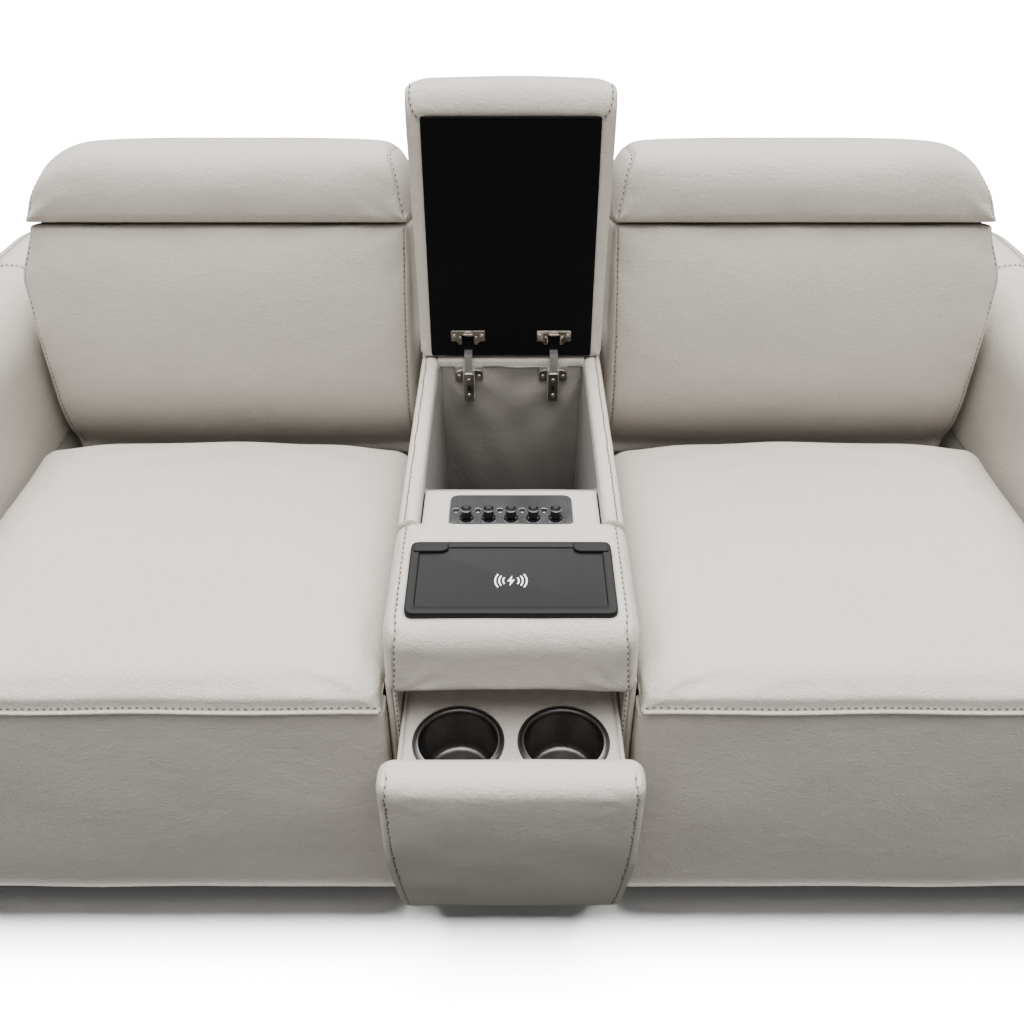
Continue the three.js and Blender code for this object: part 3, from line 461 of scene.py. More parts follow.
class Cushion:
    """A sewn leather piece: its object and its surface."""

    def __init__(self, name, block, material, place=None, seams=(), sink=0.0018, held=None):
        obj = self.obj = solid(name, block.points, block.faces, material)
        if held is not None:
            swell(obj, held)
        self.sink([(seam, sink) if isinstance(seam, list) else seam for seam in seams])
        smooth = obj.modifiers.new("rounding", "SUBSURF")
        smooth.levels = smooth.render_levels = 1
        applied(obj)
        if place is not None:
            obj.data.transform(place)
        obj.data.polygons.foreach_set("use_smooth", [True] * len(obj.data.polygons))
        faces = [tuple(p.vertices) for p in obj.data.polygons]
        self.tree = BVHTree.FromPolygons([Vector(p) for p in coordinates(obj.data)], faces)

    def sink(self, seams):
        mesh = self.obj.data
        points, outward = coordinates(mesh), coordinates(mesh, "normal")
        # Marks the seam points, along which the leather finish paints dirt and shade.
        worn = mesh.attributes.new("seam", "FLOAT", "POINT")
        level = np.zeros(len(points), np.float32)
        crease = mesh.attributes.new("crease_edge", "FLOAT", "EDGE")
        edges = {tuple(sorted(e.vertices)): e.index for e in mesh.edges}
        sewn = {i for line, _ in seams for i in line}
        for first, second in edges:
            for kept, drawn in ((first, second), (second, first)):
                if kept in sewn and drawn not in sewn:
                    points[drawn] += (points[kept] - points[drawn]) * PINCH
        for line, depth in seams:
            points[line] -= outward[line] * depth
            level[line] = 1
            for pair in zip(line, line[1:]):
                index = edges.get(tuple(sorted(pair)))
                if index is not None:
                    crease.data[index].value = SEAM_CREASE
        worn.data.foreach_set("value", level)
        set_coordinates(mesh, points)

    def path(self, line):
        return coordinates(self.obj.data)[line]

    def near(self, points):
        """The surface under these points: places and outward directions."""
        found = [self.tree.find_nearest(Vector(p)) for p in points]
        return np.array([f[0] for f in found]), np.array([f[1] for f in found])


def even(path, pitch):
    """Points every pitch along a path, from half a pitch past its start, and the way it runs there."""
    path = np.asarray(path, float)
    runs = np.linalg.norm(np.diff(path, axis=0), axis=1)
    total = np.concatenate([[0], np.cumsum(runs)])
    count = max(2, int(total[-1] / pitch))
    at = (np.arange(count) + 0.5) * total[-1] / count

    def along(shift):
        return np.stack([np.interp(at + shift, total, path[:, k]) for k in range(3)], 1)

    way = along(pitch * 0.4) - along(-pitch * 0.4)
    return along(0), way / np.linalg.norm(way, axis=1)[:, None]


STITCH_PITCH = 0.0083
FINE_PITCH = 0.0056
STITCH_LENGTH = 0.0040
STITCH_RADIUS = 0.0009


def bands(rings, sides):
    """The faces between rings of points, each joined to the next."""
    return [(r + a, r + (a + 1) % sides, r + (a + 1) % sides + sides, r + a + sides)
            for r in range(0, (rings - 1) * sides, sides) for a in range(sides)]


def stitch(name, cushion, path, offset, pitch=STITCH_PITCH):
    """A row of stitches beside a seam, pulled into the leather at their ends."""
    points, way = even(path, pitch)
    _, up = cushion.near(points)
    aside = np.cross(way, up)
    aside /= np.linalg.norm(aside, axis=1)[:, None]
    points, up = cushion.near(points + aside * offset)
    way -= up * (way * up).sum(1)[:, None]
    way /= np.linalg.norm(way, axis=1)[:, None]
    return thread_row(name, points, way, up)


def thread_row(name, points, way, up):
    aside = np.cross(way, up)
    rings = [(-0.5, -0.9, 0.55), (-0.38, 0.1, 0.9), (0, 0.45, 1), (0.38, 0.1, 0.9), (0.5, -0.9, 0.55)]
    sides = 6
    verts = []
    for along, lift, girth in rings:
        centre = points + way * (along * STITCH_LENGTH) + up * (lift * STITCH_RADIUS)
        for angle in np.arange(sides) * 2 * math.pi / sides:
            spoke = aside * math.cos(angle) + up * math.sin(angle)
            verts.append(centre + spoke * (girth * STITCH_RADIUS))
    verts = np.stack(verts, 1)
    size = verts.shape[1]
    one = bands(len(rings), sides) + [tuple(range(sides))[::-1], tuple(range(size - sides, size))]
    faces = [tuple(i + start for i in face) for start in range(0, size * len(points), size) for face in one]
    return solid(name, verts.reshape(-1, 3), faces, thread)


def tube(name, path, radius, material, sides=10, up=(0, 0, 1)):
    """A round cord of leather or felt along a path, closed at its ends."""
    path = np.asarray(path, float)
    way = np.gradient(path, axis=0)
    way /= np.linalg.norm(way, axis=1)[:, None]
    aside = np.cross(way, np.array(up, float))
    aside /= np.linalg.norm(aside, axis=1)[:, None]
    lift = np.cross(aside, way)
    turn = np.arange(sides) * 2 * math.pi / sides
    verts = [path + radius * (aside * math.cos(a) + lift * math.sin(a)) for a in turn]
    faces = [(a, d, c, b) for a, b, c, d in bands(len(path), sides)]
    faces += [tuple(range(sides)), tuple(len(path) * sides - 1 - i for i in range(sides))]
    return solid(name, np.stack(verts, 1).reshape(-1, 3), faces, material)


def mirrored(obj, name):
    """The same piece on the other side of the sofa."""
    twin = bpy.data.objects.new(name, obj.data.copy())
    bpy.context.scene.collection.objects.link(twin)
    twin.data.transform(Matrix.Diagonal((-1, 1, 1, 1)))
    twin.data.flip_normals()
    twin.data.name = name
    return twin


drawer_pieces = []  # what the floor's light passes


def fit_out(piece, body, *nodes, slot=None, fill=None):
    if body == "drawer":
        drawer_pieces.append(piece)
    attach(piece, body)
    if nodes:
        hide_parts(*nodes)
    return piece


def pair(obj, base, body, slot, fill=None):
    """Fits a right-hand piece and its left-hand twin. They replace the CAD nodes of their name, if any."""
    twin = mirrored(obj, f"{base}_left")
    for piece, side in ((obj, "right"), (twin, "left")):
        node = f"{base}_{side}"
        fit_out(piece, body.format(side), *([node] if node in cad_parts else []), slot=slot, fill=fill)


# Turned, cut and lined pieces
def lathe(name, profile, centre, material, sides=64, lying=False):
    """A turned piece; the profile gives radii and heights from its foot, outside, to its end."""
    turn = np.arange(sides) * 2 * math.pi / sides
    points, rings, faces = [], [], []
    for radius, height in profile:
        spokes = turn if radius > 0 else turn[:1]
        rings.append(list(range(len(points), len(points) + len(spokes))))
        points += [(radius * math.cos(a), radius * math.sin(a), height) for a in spokes]
    for lower, upper in zip(rings, rings[1:]):
        for a in range(sides):
            b = (a + 1) % sides
            if len(lower) == 1:
                faces.append((lower[0], upper[b], upper[a]))
            elif len(upper) == 1:
                faces.append((lower[a], lower[b], upper[0]))
            else:
                faces.append((lower[a], lower[b], upper[b], upper[a]))
    obj = solid(name, points, faces, material)
    turned = Matrix.Rotation(-math.pi / 2, 4, "X") if lying else Matrix.Identity(4)
    obj.data.transform(Matrix.Translation(centre) @ turned)
    return crisp(obj)


def stretch(radius, height, *offsets):
    """A stretch of a turned profile, given from one of its corners."""
    return [(radius + out, height + up) for out, up in offsets]


def crisp(obj, angle=40):
    """Smooth faces that keep their sharp edges."""
    obj.data.polygons.foreach_set("use_smooth", [True] * len(obj.data.polygons))
    obj.data.set_sharp_from_angle(angle=math.radians(angle))
    return obj


def rounded(corners, radius, steps=5):
    """An outline with its corners rounded."""
    corners = [np.array(c, float) for c in corners]
    found = []
    for last, corner, following in zip(corners[-1:] + corners[:-1], corners, corners[1:] + corners[:1]):
        before, after = last - corner, following - corner
        spans = [np.linalg.norm(before), np.linalg.norm(after)]
        cut = min(radius, *(s * 0.48 for s in spans))
        start, end = corner + before / spans[0] * cut, corner + after / spans[1] * cut
        for s in np.linspace(0, 1, steps + 1):
            found.append((1 - s) ** 2 * start + 2 * s * (1 - s) * corner + s * s * end)
    return found


def rectangle(width, depth, corner, steps, centre=(0, 0)):
    x, y = width / 2, depth / 2
    return rounded(np.array([(-x, -y), (x, -y), (x, y), (-x, y)]) + centre, corner, steps)


def plate(name, outline, thickness, material, place=None, edge=0.0008, segments=2):
    """A flat piece cut to an outline, from z = 0 up, with its edges eased."""
    count = len(outline)
    points = [(*p, z) for z in (0, thickness) for p in outline]
    faces = [tuple(range(count))[::-1], tuple(range(count, 2 * count))] + bands(2, count)
    obj = solid(name, points, faces, material)
    if edge:
        eased(obj, edge, segments)
        applied(obj)
    crisp(obj)
    if place is not None:
        obj.data.transform(place)
    return obj


def eased(obj, width, segments=2):
    """Rounds an object's edges a little."""
    bevel = obj.modifiers.new("eased_edges", "BEVEL")
    bevel.width, bevel.segments = width, segments
    bevel.limit_method, bevel.angle_limit = "ANGLE", math.radians(40)
    obj.modifiers.new("flat_faces", "WEIGHTED_NORMAL")
    return obj


def dish(name, profile, outline, material, place):
    """Outlines one inside the other; the profile gives how far in and how high each lies."""
    points = [(*p, height) for inset, height in profile for p in outline(inset)]
    count = len(outline(0))
    faces = bands(len(profile), count)
    faces += [tuple(range(count))[::-1], tuple(range(len(points) - count, len(points)))]
    obj = crisp(solid(name, points, faces, material))
    obj.data.transform(place)
    return obj


class Lining:
    """A lined box: two blocks of one lattice, open at the top and joined round it."""

    def __init__(self, inner, outer):
        self.inner, self.count = inner, len(inner.points)
        points = np.concatenate([outer.points, inner.points])
        walls = inner.faces[~(inner.grid[inner.faces][:, :, 2] == inner.rows[2]).all(1)]
        faces = [tuple(f) for f in walls] + [tuple(f[::-1] + self.count) for f in walls]
        ring = inner.line((0, 0, -1), (-1, 0, -1), (-1, -1, -1), (0, -1, -1), (0, 0, -1))
        faces += [(a, b, b + self.count, a + self.count) for a, b in zip(ring, ring[1:])]
        used = sorted({i for f in faces for i in f})
        self.number = {int(old): new for new, old in enumerate(used)}
        self.points = points[used]
        self.faces = np.array([[self.number[int(i)] for i in f] for f in faces])

    def line(self, *corners):
        return [self.number[i + self.count] for i in self.inner.line(*corners)]


def gather(points, corner, out, along, reach, height, folds, phase=0.0):
    """Small folds that fan out from a corner where the leather is drawn together."""
    corner, out, along = (np.asarray(v, float) for v in (corner, out, along))
    away = points - corner
    depth = away @ out
    away = away - depth[:, None] * out
    distance = np.linalg.norm(away, axis=1)
    turn = np.arctan2(away @ np.cross(out, along), away @ along)
    fade = smoothstep(distance, 0, reach * 0.3) * (1 - smoothstep(distance, reach * 0.4, reach))
    fade *= 1 - smoothstep(np.abs(depth), 0.012, 0.03)
    points += out * (height * np.sin(turn * folds + phase) * fade)[:, None]


def uneven(points, out, height, size, seed):
    """Slow rises and falls, as stuffing leaves them in leather."""
    out = np.asarray(out, float)
    level = [noise.noise(Vector(p) / size + Vector((seed, seed, seed))) for p in points]
    points += out * (height * np.array(level))[:, None]


def twin_stitches(name, cushion, line, offset, body, pitch=STITCH_PITCH):
    """Stitches beside a right-hand seam, and their mirror image on the left."""
    pair(stitch(f"{name}_right", cushion, cushion.path(line), offset, pitch), name, body, "leather")


def dress(material, *names, edge=0.0):
    """Gives CAD nodes their finish and eases their edges."""
    for name in names:
        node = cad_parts[name]
        node.data.materials.clear()
        node.data.materials.append(material)
        crisp(node)
        if edge:
            eased(node, edge)


def both(name):
    return [f"{name}_{side}" for side, _ in SIDES]


BACK_FOOT = (0, 0.1185, 0.445)
BACK_TILT = math.radians(14.7)
BACK_PLACE = Matrix.Translation(BACK_FOOT) @ Matrix.Rotation(-BACK_TILT, 4, "X")
HEADREST_FOOT = 0.3356
HEADREST_FOLD = 0.0006


# Seats
SEAT_CROWN = 0.022
SEAT_SEAM_HEIGHT = 0.4153
WELT_RADIUS = 0.0027
SEAT_NUDGE = 0.006  # how far the seat's leather reaches back to the back cushion


def seat_cushion():
    low, high = extent("seat_cushion_right")
    lip_run = 0.062

    def shape(p, u, v, t):
        y = p[:, 1] - low[1]
        lifted = 1 - smoothstep(y, lip_run - 0.004, lip_run + 0.004)
        top = high[2] - SEAT_CROWN
        share = (p[:, 2] - low[2]) / (top - low[2])
        p[:, 2] += lifted * (SEAT_SEAM_HEIGHT - low[2]) * (1 - share)
        ahead = 1 - np.clip(-v, 0, 1) ** 3
        p[:, 2] += SEAT_CROWN * (1 - np.abs(u) ** 2.6) * ahead * np.clip(share, 0, 1) ** 2
        p[:, 0] -= 0.003 * u * (1 - v * v)
        uneven(p, (0, 0, 1), 0.0030, 0.13, 3.1)
        folds = np.sin((p[:, 1] + 0.10 * u * u) * 2 * math.pi / 0.062) * smoothstep(v, 0.1, 0.6)
        p[:, 2] += 0.0014 * folds * (1 - u * u) * np.clip(share, 0, 1) ** 2

    top = high + (0, SEAT_NUDGE, -SEAT_CROWN)
    block = Block(low, top, (48, 42, 8), (5, 5, 3), (0.006, 0.036), (0.004, 0.044), (0.006, 0.030),
                  0.005, 0.028, shape)
    cushion = Cushion("seat_cushion_right", block, leather, held=block.at[:, :, 0].ravel())
    edge = cushion.path(block.line((2, 0, 1), (-3, 0, 1)))
    row = edge + (0, 0, WELT_RADIUS + 0.0022)
    pair(stitch("seat_stitches_right", cushion, row, 0.0), "seat_stitches", "base", "leather")
    welt = tube("seat_welt_right", edge - (0, 0.0010, 0), WELT_RADIUS, leather)
    pair(welt, "seat_welt", "base", "leather")
    pair(cushion.obj, "seat_cushion", "base", "leather", 0.8)


def footrest_pad():
    low, high = extent("footrest_pad_right")

    def shape(p, u, v, t):
        ahead = np.clip(-v, 0, 1)
        p[:, 1] += ahead * (0.004 - 0.004 * (1 - u * u) * (1 - t * t))
        p[:, 1] += ahead * 0.022 * ((1 - t) / 2) ** 2
        uneven(p, (0, 1, 0), 0.0018, 0.12, 7.7)
        for side in (-1, 1):
            middle = (low[0] + high[0]) / 2
            corner = (middle + side * 0.29, low[1], high[2] - 0.004)
            gather(p, corner, (0, -1, 0), (-side, 0, 0), 0.06, 0.0010, 8)

    block = Block(low, high, (48, 5, 32), (4, 2, 4), (0.016, 0.010), (0.016, 0.008), (0.004, 0.004),
                  0.020, 0.005, shape)
    cushion = Cushion("footrest_pad_right", block, leather)
    pair(cushion.obj, "footrest_pad", "footrest_{}", "leather", 0.7)


BACK_CROWN = 0.014
BACK_TURN = 0.275  # the height at which the back starts to lean back under itself
BACK_TUCK = 0.050  # how far it has done so at the seat
BACK_CURL = 0.014  # the same again, close to the seat alone
BACK_REACH = 1.12  # how far past the seat's height the lean goes on


def back_cushion():
    low, high = extent("back_cushion_right", BACK_PLACE)
    high[2] = HEADREST_FOOT + 0.0005

    def shape(p, u, v, t):
        ahead = np.clip((high[1] - p[:, 1]) / (high[1] - low[1] - BACK_CROWN), 0, 1)
        p[:, 1] -= BACK_CROWN * (1 - np.abs(u) ** 3) * (1 - np.abs(t) ** 3) * ahead ** 2
        down = np.clip((BACK_TURN - p[:, 2]) / BACK_TURN, 0, BACK_REACH)
        p[:, 1] += (BACK_TUCK * down ** 2 + BACK_CURL * down ** 8) * ahead
        far = smoothstep(t, 0.55, 1)
        p[:, 0] -= far * np.clip(u, 0, 1) ** 3 * 0.026
        uneven(p, (0, 1, 0), 0.0024, 0.12, 11.3)

    block = Block(low + (0, BACK_CROWN, 0), high, (48, 9, 38), (4, 4, 4), (0.024, 0.010), (0.040, 0.011),
                  (0.006, 0.006), 0.040, 0.009, shape)
    held = block.at[:, -1, :].ravel()
    seams = [block.line((i, 0, 2), (i, 0, -3)) for i in (2, -3)]
    cushion = Cushion("back_cushion_right", block, leather, BACK_PLACE, seams, 0.0022, held)
    twin_stitches("back_inner_stitches", cushion, seams[0][4:], 0.0028, "back_{}")
    twin_stitches("back_outer_stitches", cushion, seams[1][4:], -0.0028, "back_{}")
    pair(cushion.obj, "back_cushion", "back_{}", "leather", 0.8)


def headrest():
    low, high = extent("headrest_right", BACK_PLACE)
    low[2] = HEADREST_FOOT
    gather_at = (high[0] - low[0]) / 2 - 0.009

    def shape(p, u, v, t):
        high_up = np.clip((t + 1) / 2, 0, 1)
        for side, start, drop in ((1, 0.58, 0.062), (-1, 0.90, 0.008)):
            end = np.clip((side * u - start) / (1 - start), 0, 1)
            p[:, 2] -= drop * end ** 2.2 * high_up
            p[:, 0] -= side * end ** 3 * drop * 0.2 * high_up ** 2
        p[:, 0] -= 0.010 * np.clip(u, 0, 1) ** 4
        p[:, 1] += HEADREST_FOLD * np.sin(p[:, 2] * 2 * math.pi / 0.030 + 1.5 * u) * (1 - u ** 6) * (v < 0.2)
        uneven(p, (0, 1, 0), 0.0022, 0.10, 5.9)
        for side in (-1, 1):
            corner = ((low[0] + high[0]) / 2 + side * gather_at, low[1] + 0.004, HEADREST_FOOT)
            gather(p, corner, (0, -1, 0), (-side, 0, 0), 0.08, 0.0016, 9, 0.4)

    block = Block(low, high, (54, 16, 14), (5, 5, 5), (0.007, 0.046), (0.022, 0.062), (0.012, 0.060),
                  0.013, 0.056, shape)
    held = block.at[:, :, 0].ravel()
    seams = [block.line((i, 0, 1), (i, 0, -1), (i, -2, -1)) for i in (2, -3)]
    cushion = Cushion("headrest_right", block, leather, BACK_PLACE, seams, 0.0018, held)
    twin_stitches("headrest_outer_stitches", cushion, seams[1], 0.0028, "head_{}")
    twin_stitches("headrest_inner_stitches", cushion, seams[0], -0.0028, "head_{}")
    pair(cushion.obj, "headrest", "head_{}", "leather", 0.8)


def back_cover():
    low, high = extent("back_cover_right", BACK_PLACE)

    def shape(p, u, v, t):
        p[:, 1] -= 0.003 * (1 - (1 - u * u) * (1 - t * t)) * np.clip(v, 0, 1)
        uneven(p, (0, 1, 0), 0.0012, 0.14, 2.3)
        p[:, 1] = np.maximum(p[:, 1], low[1] + 0.0012 + 0.005 * smoothstep(-t, 0.5, 0.9))

    block = Block(low + (0, 0, 0.005), high, (40, 7, 36), (4, 3, 4), (0.012, 0.012), (0.003, 0.003),
                  (0.022, 0.022), 0.014, 0.014, shape)
    seams = [block.line((i, -1, 2), (i, -1, -3)) for i in (4, -5)] + [block.line((4, -1, -5), (-5, -1, -5))]
    cushion = Cushion("back_cover_right", block, leather, BACK_PLACE, seams, 0.0016)
    twin_stitches("cover_inner_stitches", cushion, seams[0], -0.0028, "back_{}")
    twin_stitches("cover_outer_stitches", cushion, seams[1], 0.0028, "back_{}")
    twin_stitches("cover_top_stitches", cushion, seams[2], -0.0028, "back_{}")
    pair(cushion.obj, "back_cover", "back_{}", "leather", 0.3)


# Arms and feet
ARM_PAD_FOOT = 0.400  # the top leather comes down inside to just under the seat cushions
ARM_SEAM = 0.320  # where the arm's padded front part meets its rear part


def arm():
    low, high = extent("arm_pad_right")
    low[2] = ARM_PAD_FOOT
    crown = 0.008

    def shape(p, u, v, t):
        up = np.clip(t, 0, 1)
        split = (ARM_SEAM - low[1]) / (high[1] - low[1])
        share = (p[:, 1] - low[1]) / (high[1] - low[1])
        run = np.where(share < split, share / split, (1 - share) / (1 - split))
        bulge = 1 - np.clip(1 - 2 * np.minimum(run, 0.5), 0, 1) ** 4
        bulge = np.minimum(bulge, 1 - np.exp(-np.abs(share - split) * 60) * 0.8)
        p[:, 2] += crown * (1 - u * u) * up * bulge
        uneven(p, (0, 0, 1), 0.0018, 0.12, 9.2)

    rows = (16, 64, 18)
    at_seam = round(rows[1] * (ARM_SEAM - low[1]) / (high[1] - low[1]))
    block = Block(low, high - (0, 0, crown), rows, (5, 4, 5), (0.003, 0.086), (0.004, 0.060), (0.004, 0.020),
                  0.003, 0.076, shape)
    seams = [(block.line((0, at_seam, 6), (0, at_seam, -1), (-1, at_seam, -1), (-1, at_seam, 6)), 0.004),
             (block.line((-5, 0, -1), (-5, -1, -1)), 0.0018)]
    cushion = Cushion("arm_pad_right", block, leather, seams=seams)
    twin_stitches("arm_outer_stitches", cushion, seams[1][0][2:-2], 0.003, "base")
    twin_stitches("arm_cross_stitches", cushion, seams[0][0][2:-2], -0.004, "base")
    rear_edge = cushion.path(block.line((0, -3, 6), (0, -3, -1), (-1, -3, -1), (-1, -3, 6)))
    welt = tube("arm_rear_welt_right", even(rear_edge, 0.006)[0], 0.0030, leather, up=(0, 1, 0))
    pair(welt, "arm_rear_welt", "base", "leather")
    pair(cushion.obj, "arm_pad", "base", "leather", 0.8)

    low, high = extent("arm_body_right")
    high[2] = ARM_PAD_FOOT - 0.0004

    def swell_body(p, u, v, t):
        p[:, 0] -= 0.0025 * np.sign(u) * (1 - (1 - t * t) * (1 - v * v)) * np.abs(u)
        uneven(p, (1, 0, 0), 0.0014, 0.15, 4.4)

    block = Block(low, high, (12, 44, 20), (4, 4, 4), (0.014, 0.003), (0.016, 0.004), (0.016, 0.004),
                  0.012, 0.003, swell_body)
    seams = [block.line((2, 0, 1), (2, 0, -2)), block.line((-3, 0, 1), (-3, 0, -2)),
             block.line((-1, 0, 3), (-1, -1, 3))]
    cushion = Cushion("arm_body_right", block, leather, seams=seams)
    twin_stitches("arm_front_inner_stitches", cushion, seams[0], 0.0028, "base")
    twin_stitches("arm_front_outer_stitches", cushion, seams[1], -0.0028, "base")
    twin_stitches("arm_foot_stitches", cushion, seams[2][2:-2], 0.0028, "base")
    pair(cushion.obj, "arm_body", "base", "leather", 0.6)


def feet():
    for end in ("front", "rear"):
        low, high = extent(f"foot_{end}_right")
        middle, radius = (low + high) / 2, (high[0] - low[0]) / 2
        height = high[2] - low[2]
        profile = [(0, 0), (radius * 0.72, 0), (radius * 0.8, 0.0012), (radius * 0.84, 0.004),
                   (radius * 0.97, height - 0.006), (radius, height - 0.004), (radius, height), (0, height)]
        foot = lathe(f"foot_{end}_right", profile, (middle[0], middle[1], low[2]), black_plastic)
        pair(foot, f"foot_{end}", "base", "black_plastic")


# Console
CONSOLE_LOW, CONSOLE_HIGH = extent("console_side_right")
REAR_TOP = extent("console_rear")[1][2]
BIN_LOW, BIN_HIGH = extent("storage_bin")
NOSE_LOW, NOSE_HIGH = extent("console_nose")
BLOCK_LOW, BLOCK_HIGH = extent("control_block")
BIN_SIDE = 0.0197
BIN_BACK = BIN_HIGH[1] - 0.020
BIN_FRONT = BIN_LOW[1] + 0.008
BIN_INNER = BIN_HIGH[0] - BIN_SIDE
BIN_FLOOR = BIN_LOW[2] + 0.012
RIM_DEPTH = 0.026
RIM_TOP = BIN_HIGH[2] - 0.0010
RIM_SLOPE = 0.012 / 0.406
LEG_OUTER = 0.1474
NOSE_LIFT = 0.012  # how far the nose's leather curls up under its foam


def rim_height(y):
    return RIM_TOP + (np.minimum(y, BIN_BACK) - BIN_BACK) * RIM_SLOPE


def side_on(x):
    """Stands an outline of depths and heights on its side, from x outwards."""
    return Matrix(((0, 0, 1, x), (1, 0, 0, 0), (0, 1, 0, 0), (0, 0, 0, 1)))


def console_sides():
    low, high = CONSOLE_LOW, CONSOLE_HIGH
    leg_front, toe = low[1], low[1] + 0.071
    under_nose = NOSE_LOW[2] + NOSE_LIFT - 0.0003
    knee, heel = 0.286, low[2] + 0.024
    behind_nose = NOSE_HIGH[1] + 0.0003
    drop = RIM_DEPTH - 0.006
    outline = [(toe, low[2]), (high[1], low[2]), (high[1], REAR_TOP), (BIN_HIGH[1], REAR_TOP),
               (BIN_HIGH[1], RIM_TOP - drop), (BIN_BACK, RIM_TOP - drop),
               (behind_nose, rim_height(behind_nose) - drop), (behind_nose, under_nose),
               (leg_front, under_nose), (leg_front, knee), (toe, heel)]
    panel = plate("console_side_right", outline, high[0] - low[0], leather, side_on(low[0]), 0.0035, 3)
    pair(panel, "console_side", "base", "leather", 0.3)

    facing = [(leg_front, under_nose), (leg_front, knee), (toe, heel), (toe, low[2]),
              (BIN_HIGH[1], low[2]), (BIN_HIGH[1], under_nose)]
    inner = high[0] + 0.0002
    leg = plate("console_leg_right", facing, LEG_OUTER - inner, leather, side_on(inner), 0.0032, 3)
    pair(leg, "console_leg", "base", "leather", 0.3)
    seam = [(inner - 0.004, leg_front + 0.0004, z) for z in (under_nose - 0.004, knee)]
    points, way = even(seam, STITCH_PITCH)
    ahead = np.tile((0.0, -1.0, 0.0), (len(points), 1))
    pair(thread_row("leg_stitches_right", points, way, ahead), "leg_stitches", "base", "leather")

    def shape(p, u, v, t):
        p[:, 2] += rim_height(p[:, 1]) - RIM_DEPTH
        shoulder = np.clip((p[:, 0] - BIN_INNER - 0.008) / 0.018, 0, 1) ** 1.5
        p[:, 2] -= 0.0045 * shoulder * smoothstep(-v, 0.55, 1) * np.clip(t, 0, 1)
        uneven(p, (0, 0, 1), 0.0008, 0.05, 6.1)

    block = Block((BIN_INNER, behind_nose, 0), (high[0], BIN_HIGH[1], RIM_DEPTH), (8, 60, 7), (3, 3, 3),
                  (0.003, 0.0105), (0.002, 0.003), (0.003, 0.008), 0.002, 0.0095, shape)
    seam = block.line((-3, 0, -1), (-3, -1, -1))
    rim = Cushion("console_rim_right", block, leather, seams=[seam], sink=0.0016)
    twin_stitches("rim_stitches", rim, seam[1:-1], -0.0026, "base", FINE_PITCH)
    pair(rim.obj, "console_rim", "base", "leather", 0.6)


def console_rear():
    low, high = extent("console_rear")

    def shape(p, u, v, t):
        uneven(p, (0, 0, 1), 0.0010, 0.09, 8.8)
        uneven(p, (0, 1, 0), 0.0010, 0.12, 8.1)

    block = Block(low, high, (20, 12, 34), (3, 4, 4), (0.003, 0.004), (0.003, 0.005), (0.008, 0.012),
                  0.006, 0.012, shape)
    seams = [block.line((i, -1, 2), (i, -1, -3)) for i in (3, -4)]
    rear = Cushion("console_rear", block, leather, seams=seams, sink=0.0014)
    for seam, (end, sign) in zip(seams, SIDES):
        row = stitch(f"rear_stitches_{end}", rear, rear.path(seam), sign * 0.0028)
        fit_out(row, "base", slot="leather")
    fit_out(rear.obj, "base", "console_rear", slot="leather", fill=0.3)


def storage_bin():
    top = RIM_TOP - RIM_DEPTH / 2
    rows, rim = (30, 34, 24), (2, 2, 2)

    def sloped(p, u, v, t):
        up = np.clip((p[:, 2] - BIN_FLOOR) / (top - BIN_FLOOR), 0, 1)
        goal = rim_height(p[:, 1]) - RIM_DEPTH / 2
        goal = np.where(p[:, 1] < BIN_FRONT + 0.004, BLOCK_HIGH[2] - 0.006, goal)
        p[:, 2] += (goal - top) * up ** 3

    def lined(p, u, v, t):
        sloped(p, u, v, t)
        for side in (-1, 1):
            corner = (side * BIN_INNER, BIN_BACK, RIM_TOP - 0.004)
            gather(p, corner, (0, -1, 0), (-side, 0, 0), 0.17, 0.0030, 11, 0.6)
            gather(p, corner, (-side, 0, 0), (0, -1, 0), 0.09, 0.0016, 9, 0.2)
        uneven(p, (0, 1, 0), 0.0022, 0.06, 1.7)
        p[:, 1] += np.where(v > 0.95, 0.0012 * np.sin(p[:, 0] * 95 + p[:, 2] * 30), 0)

    inner = Block((-BIN_INNER, BIN_FRONT, BIN_FLOOR), (BIN_INNER, BIN_BACK, top), rows, rim,
                  (0.012, 0.006), (0.012, 0.006), (0.012, 0.006), 0.012, 0.001, lined)
    outer = Block(BIN_LOW, (*BIN_HIGH[:2], top), rows, rim, (0.002, 0.002), (0.002, 0.002), (0.002, 0.002),
                  0.002, 0.001, sloped)
    shell = Lining(inner, outer)
    seams = [shell.line((i, -1, 2), (i, -1, -2)) for i in (1, -2)]
    box = Cushion("storage_bin", shell, lining_in_painted_shade, seams=seams, sink=0.0012)
    fit_out(box.obj, "base", "storage_bin", slot="lining_leather", fill=0.2)

    def soft(p, u, v, t):
        uneven(p, (0, 0, 1), 0.0007, 0.04, 2.9)

    reach = BIN_INNER + 0.001
    block = Block((-reach, BIN_BACK, top - 0.002), (reach, BIN_HIGH[1], RIM_TOP - 0.0003), (30, 5, 5),
                  (2, 2, 2), (0.001, 0.001), (0.003, 0.007), (0.003, 0.006), 0.002, 0.006, soft)
    wall = Cushion("bin_back_rim", block, leather)
    fit_out(wall.obj, "base", slot="leather", fill=0.5)


NOSE_PROUD = 0.004


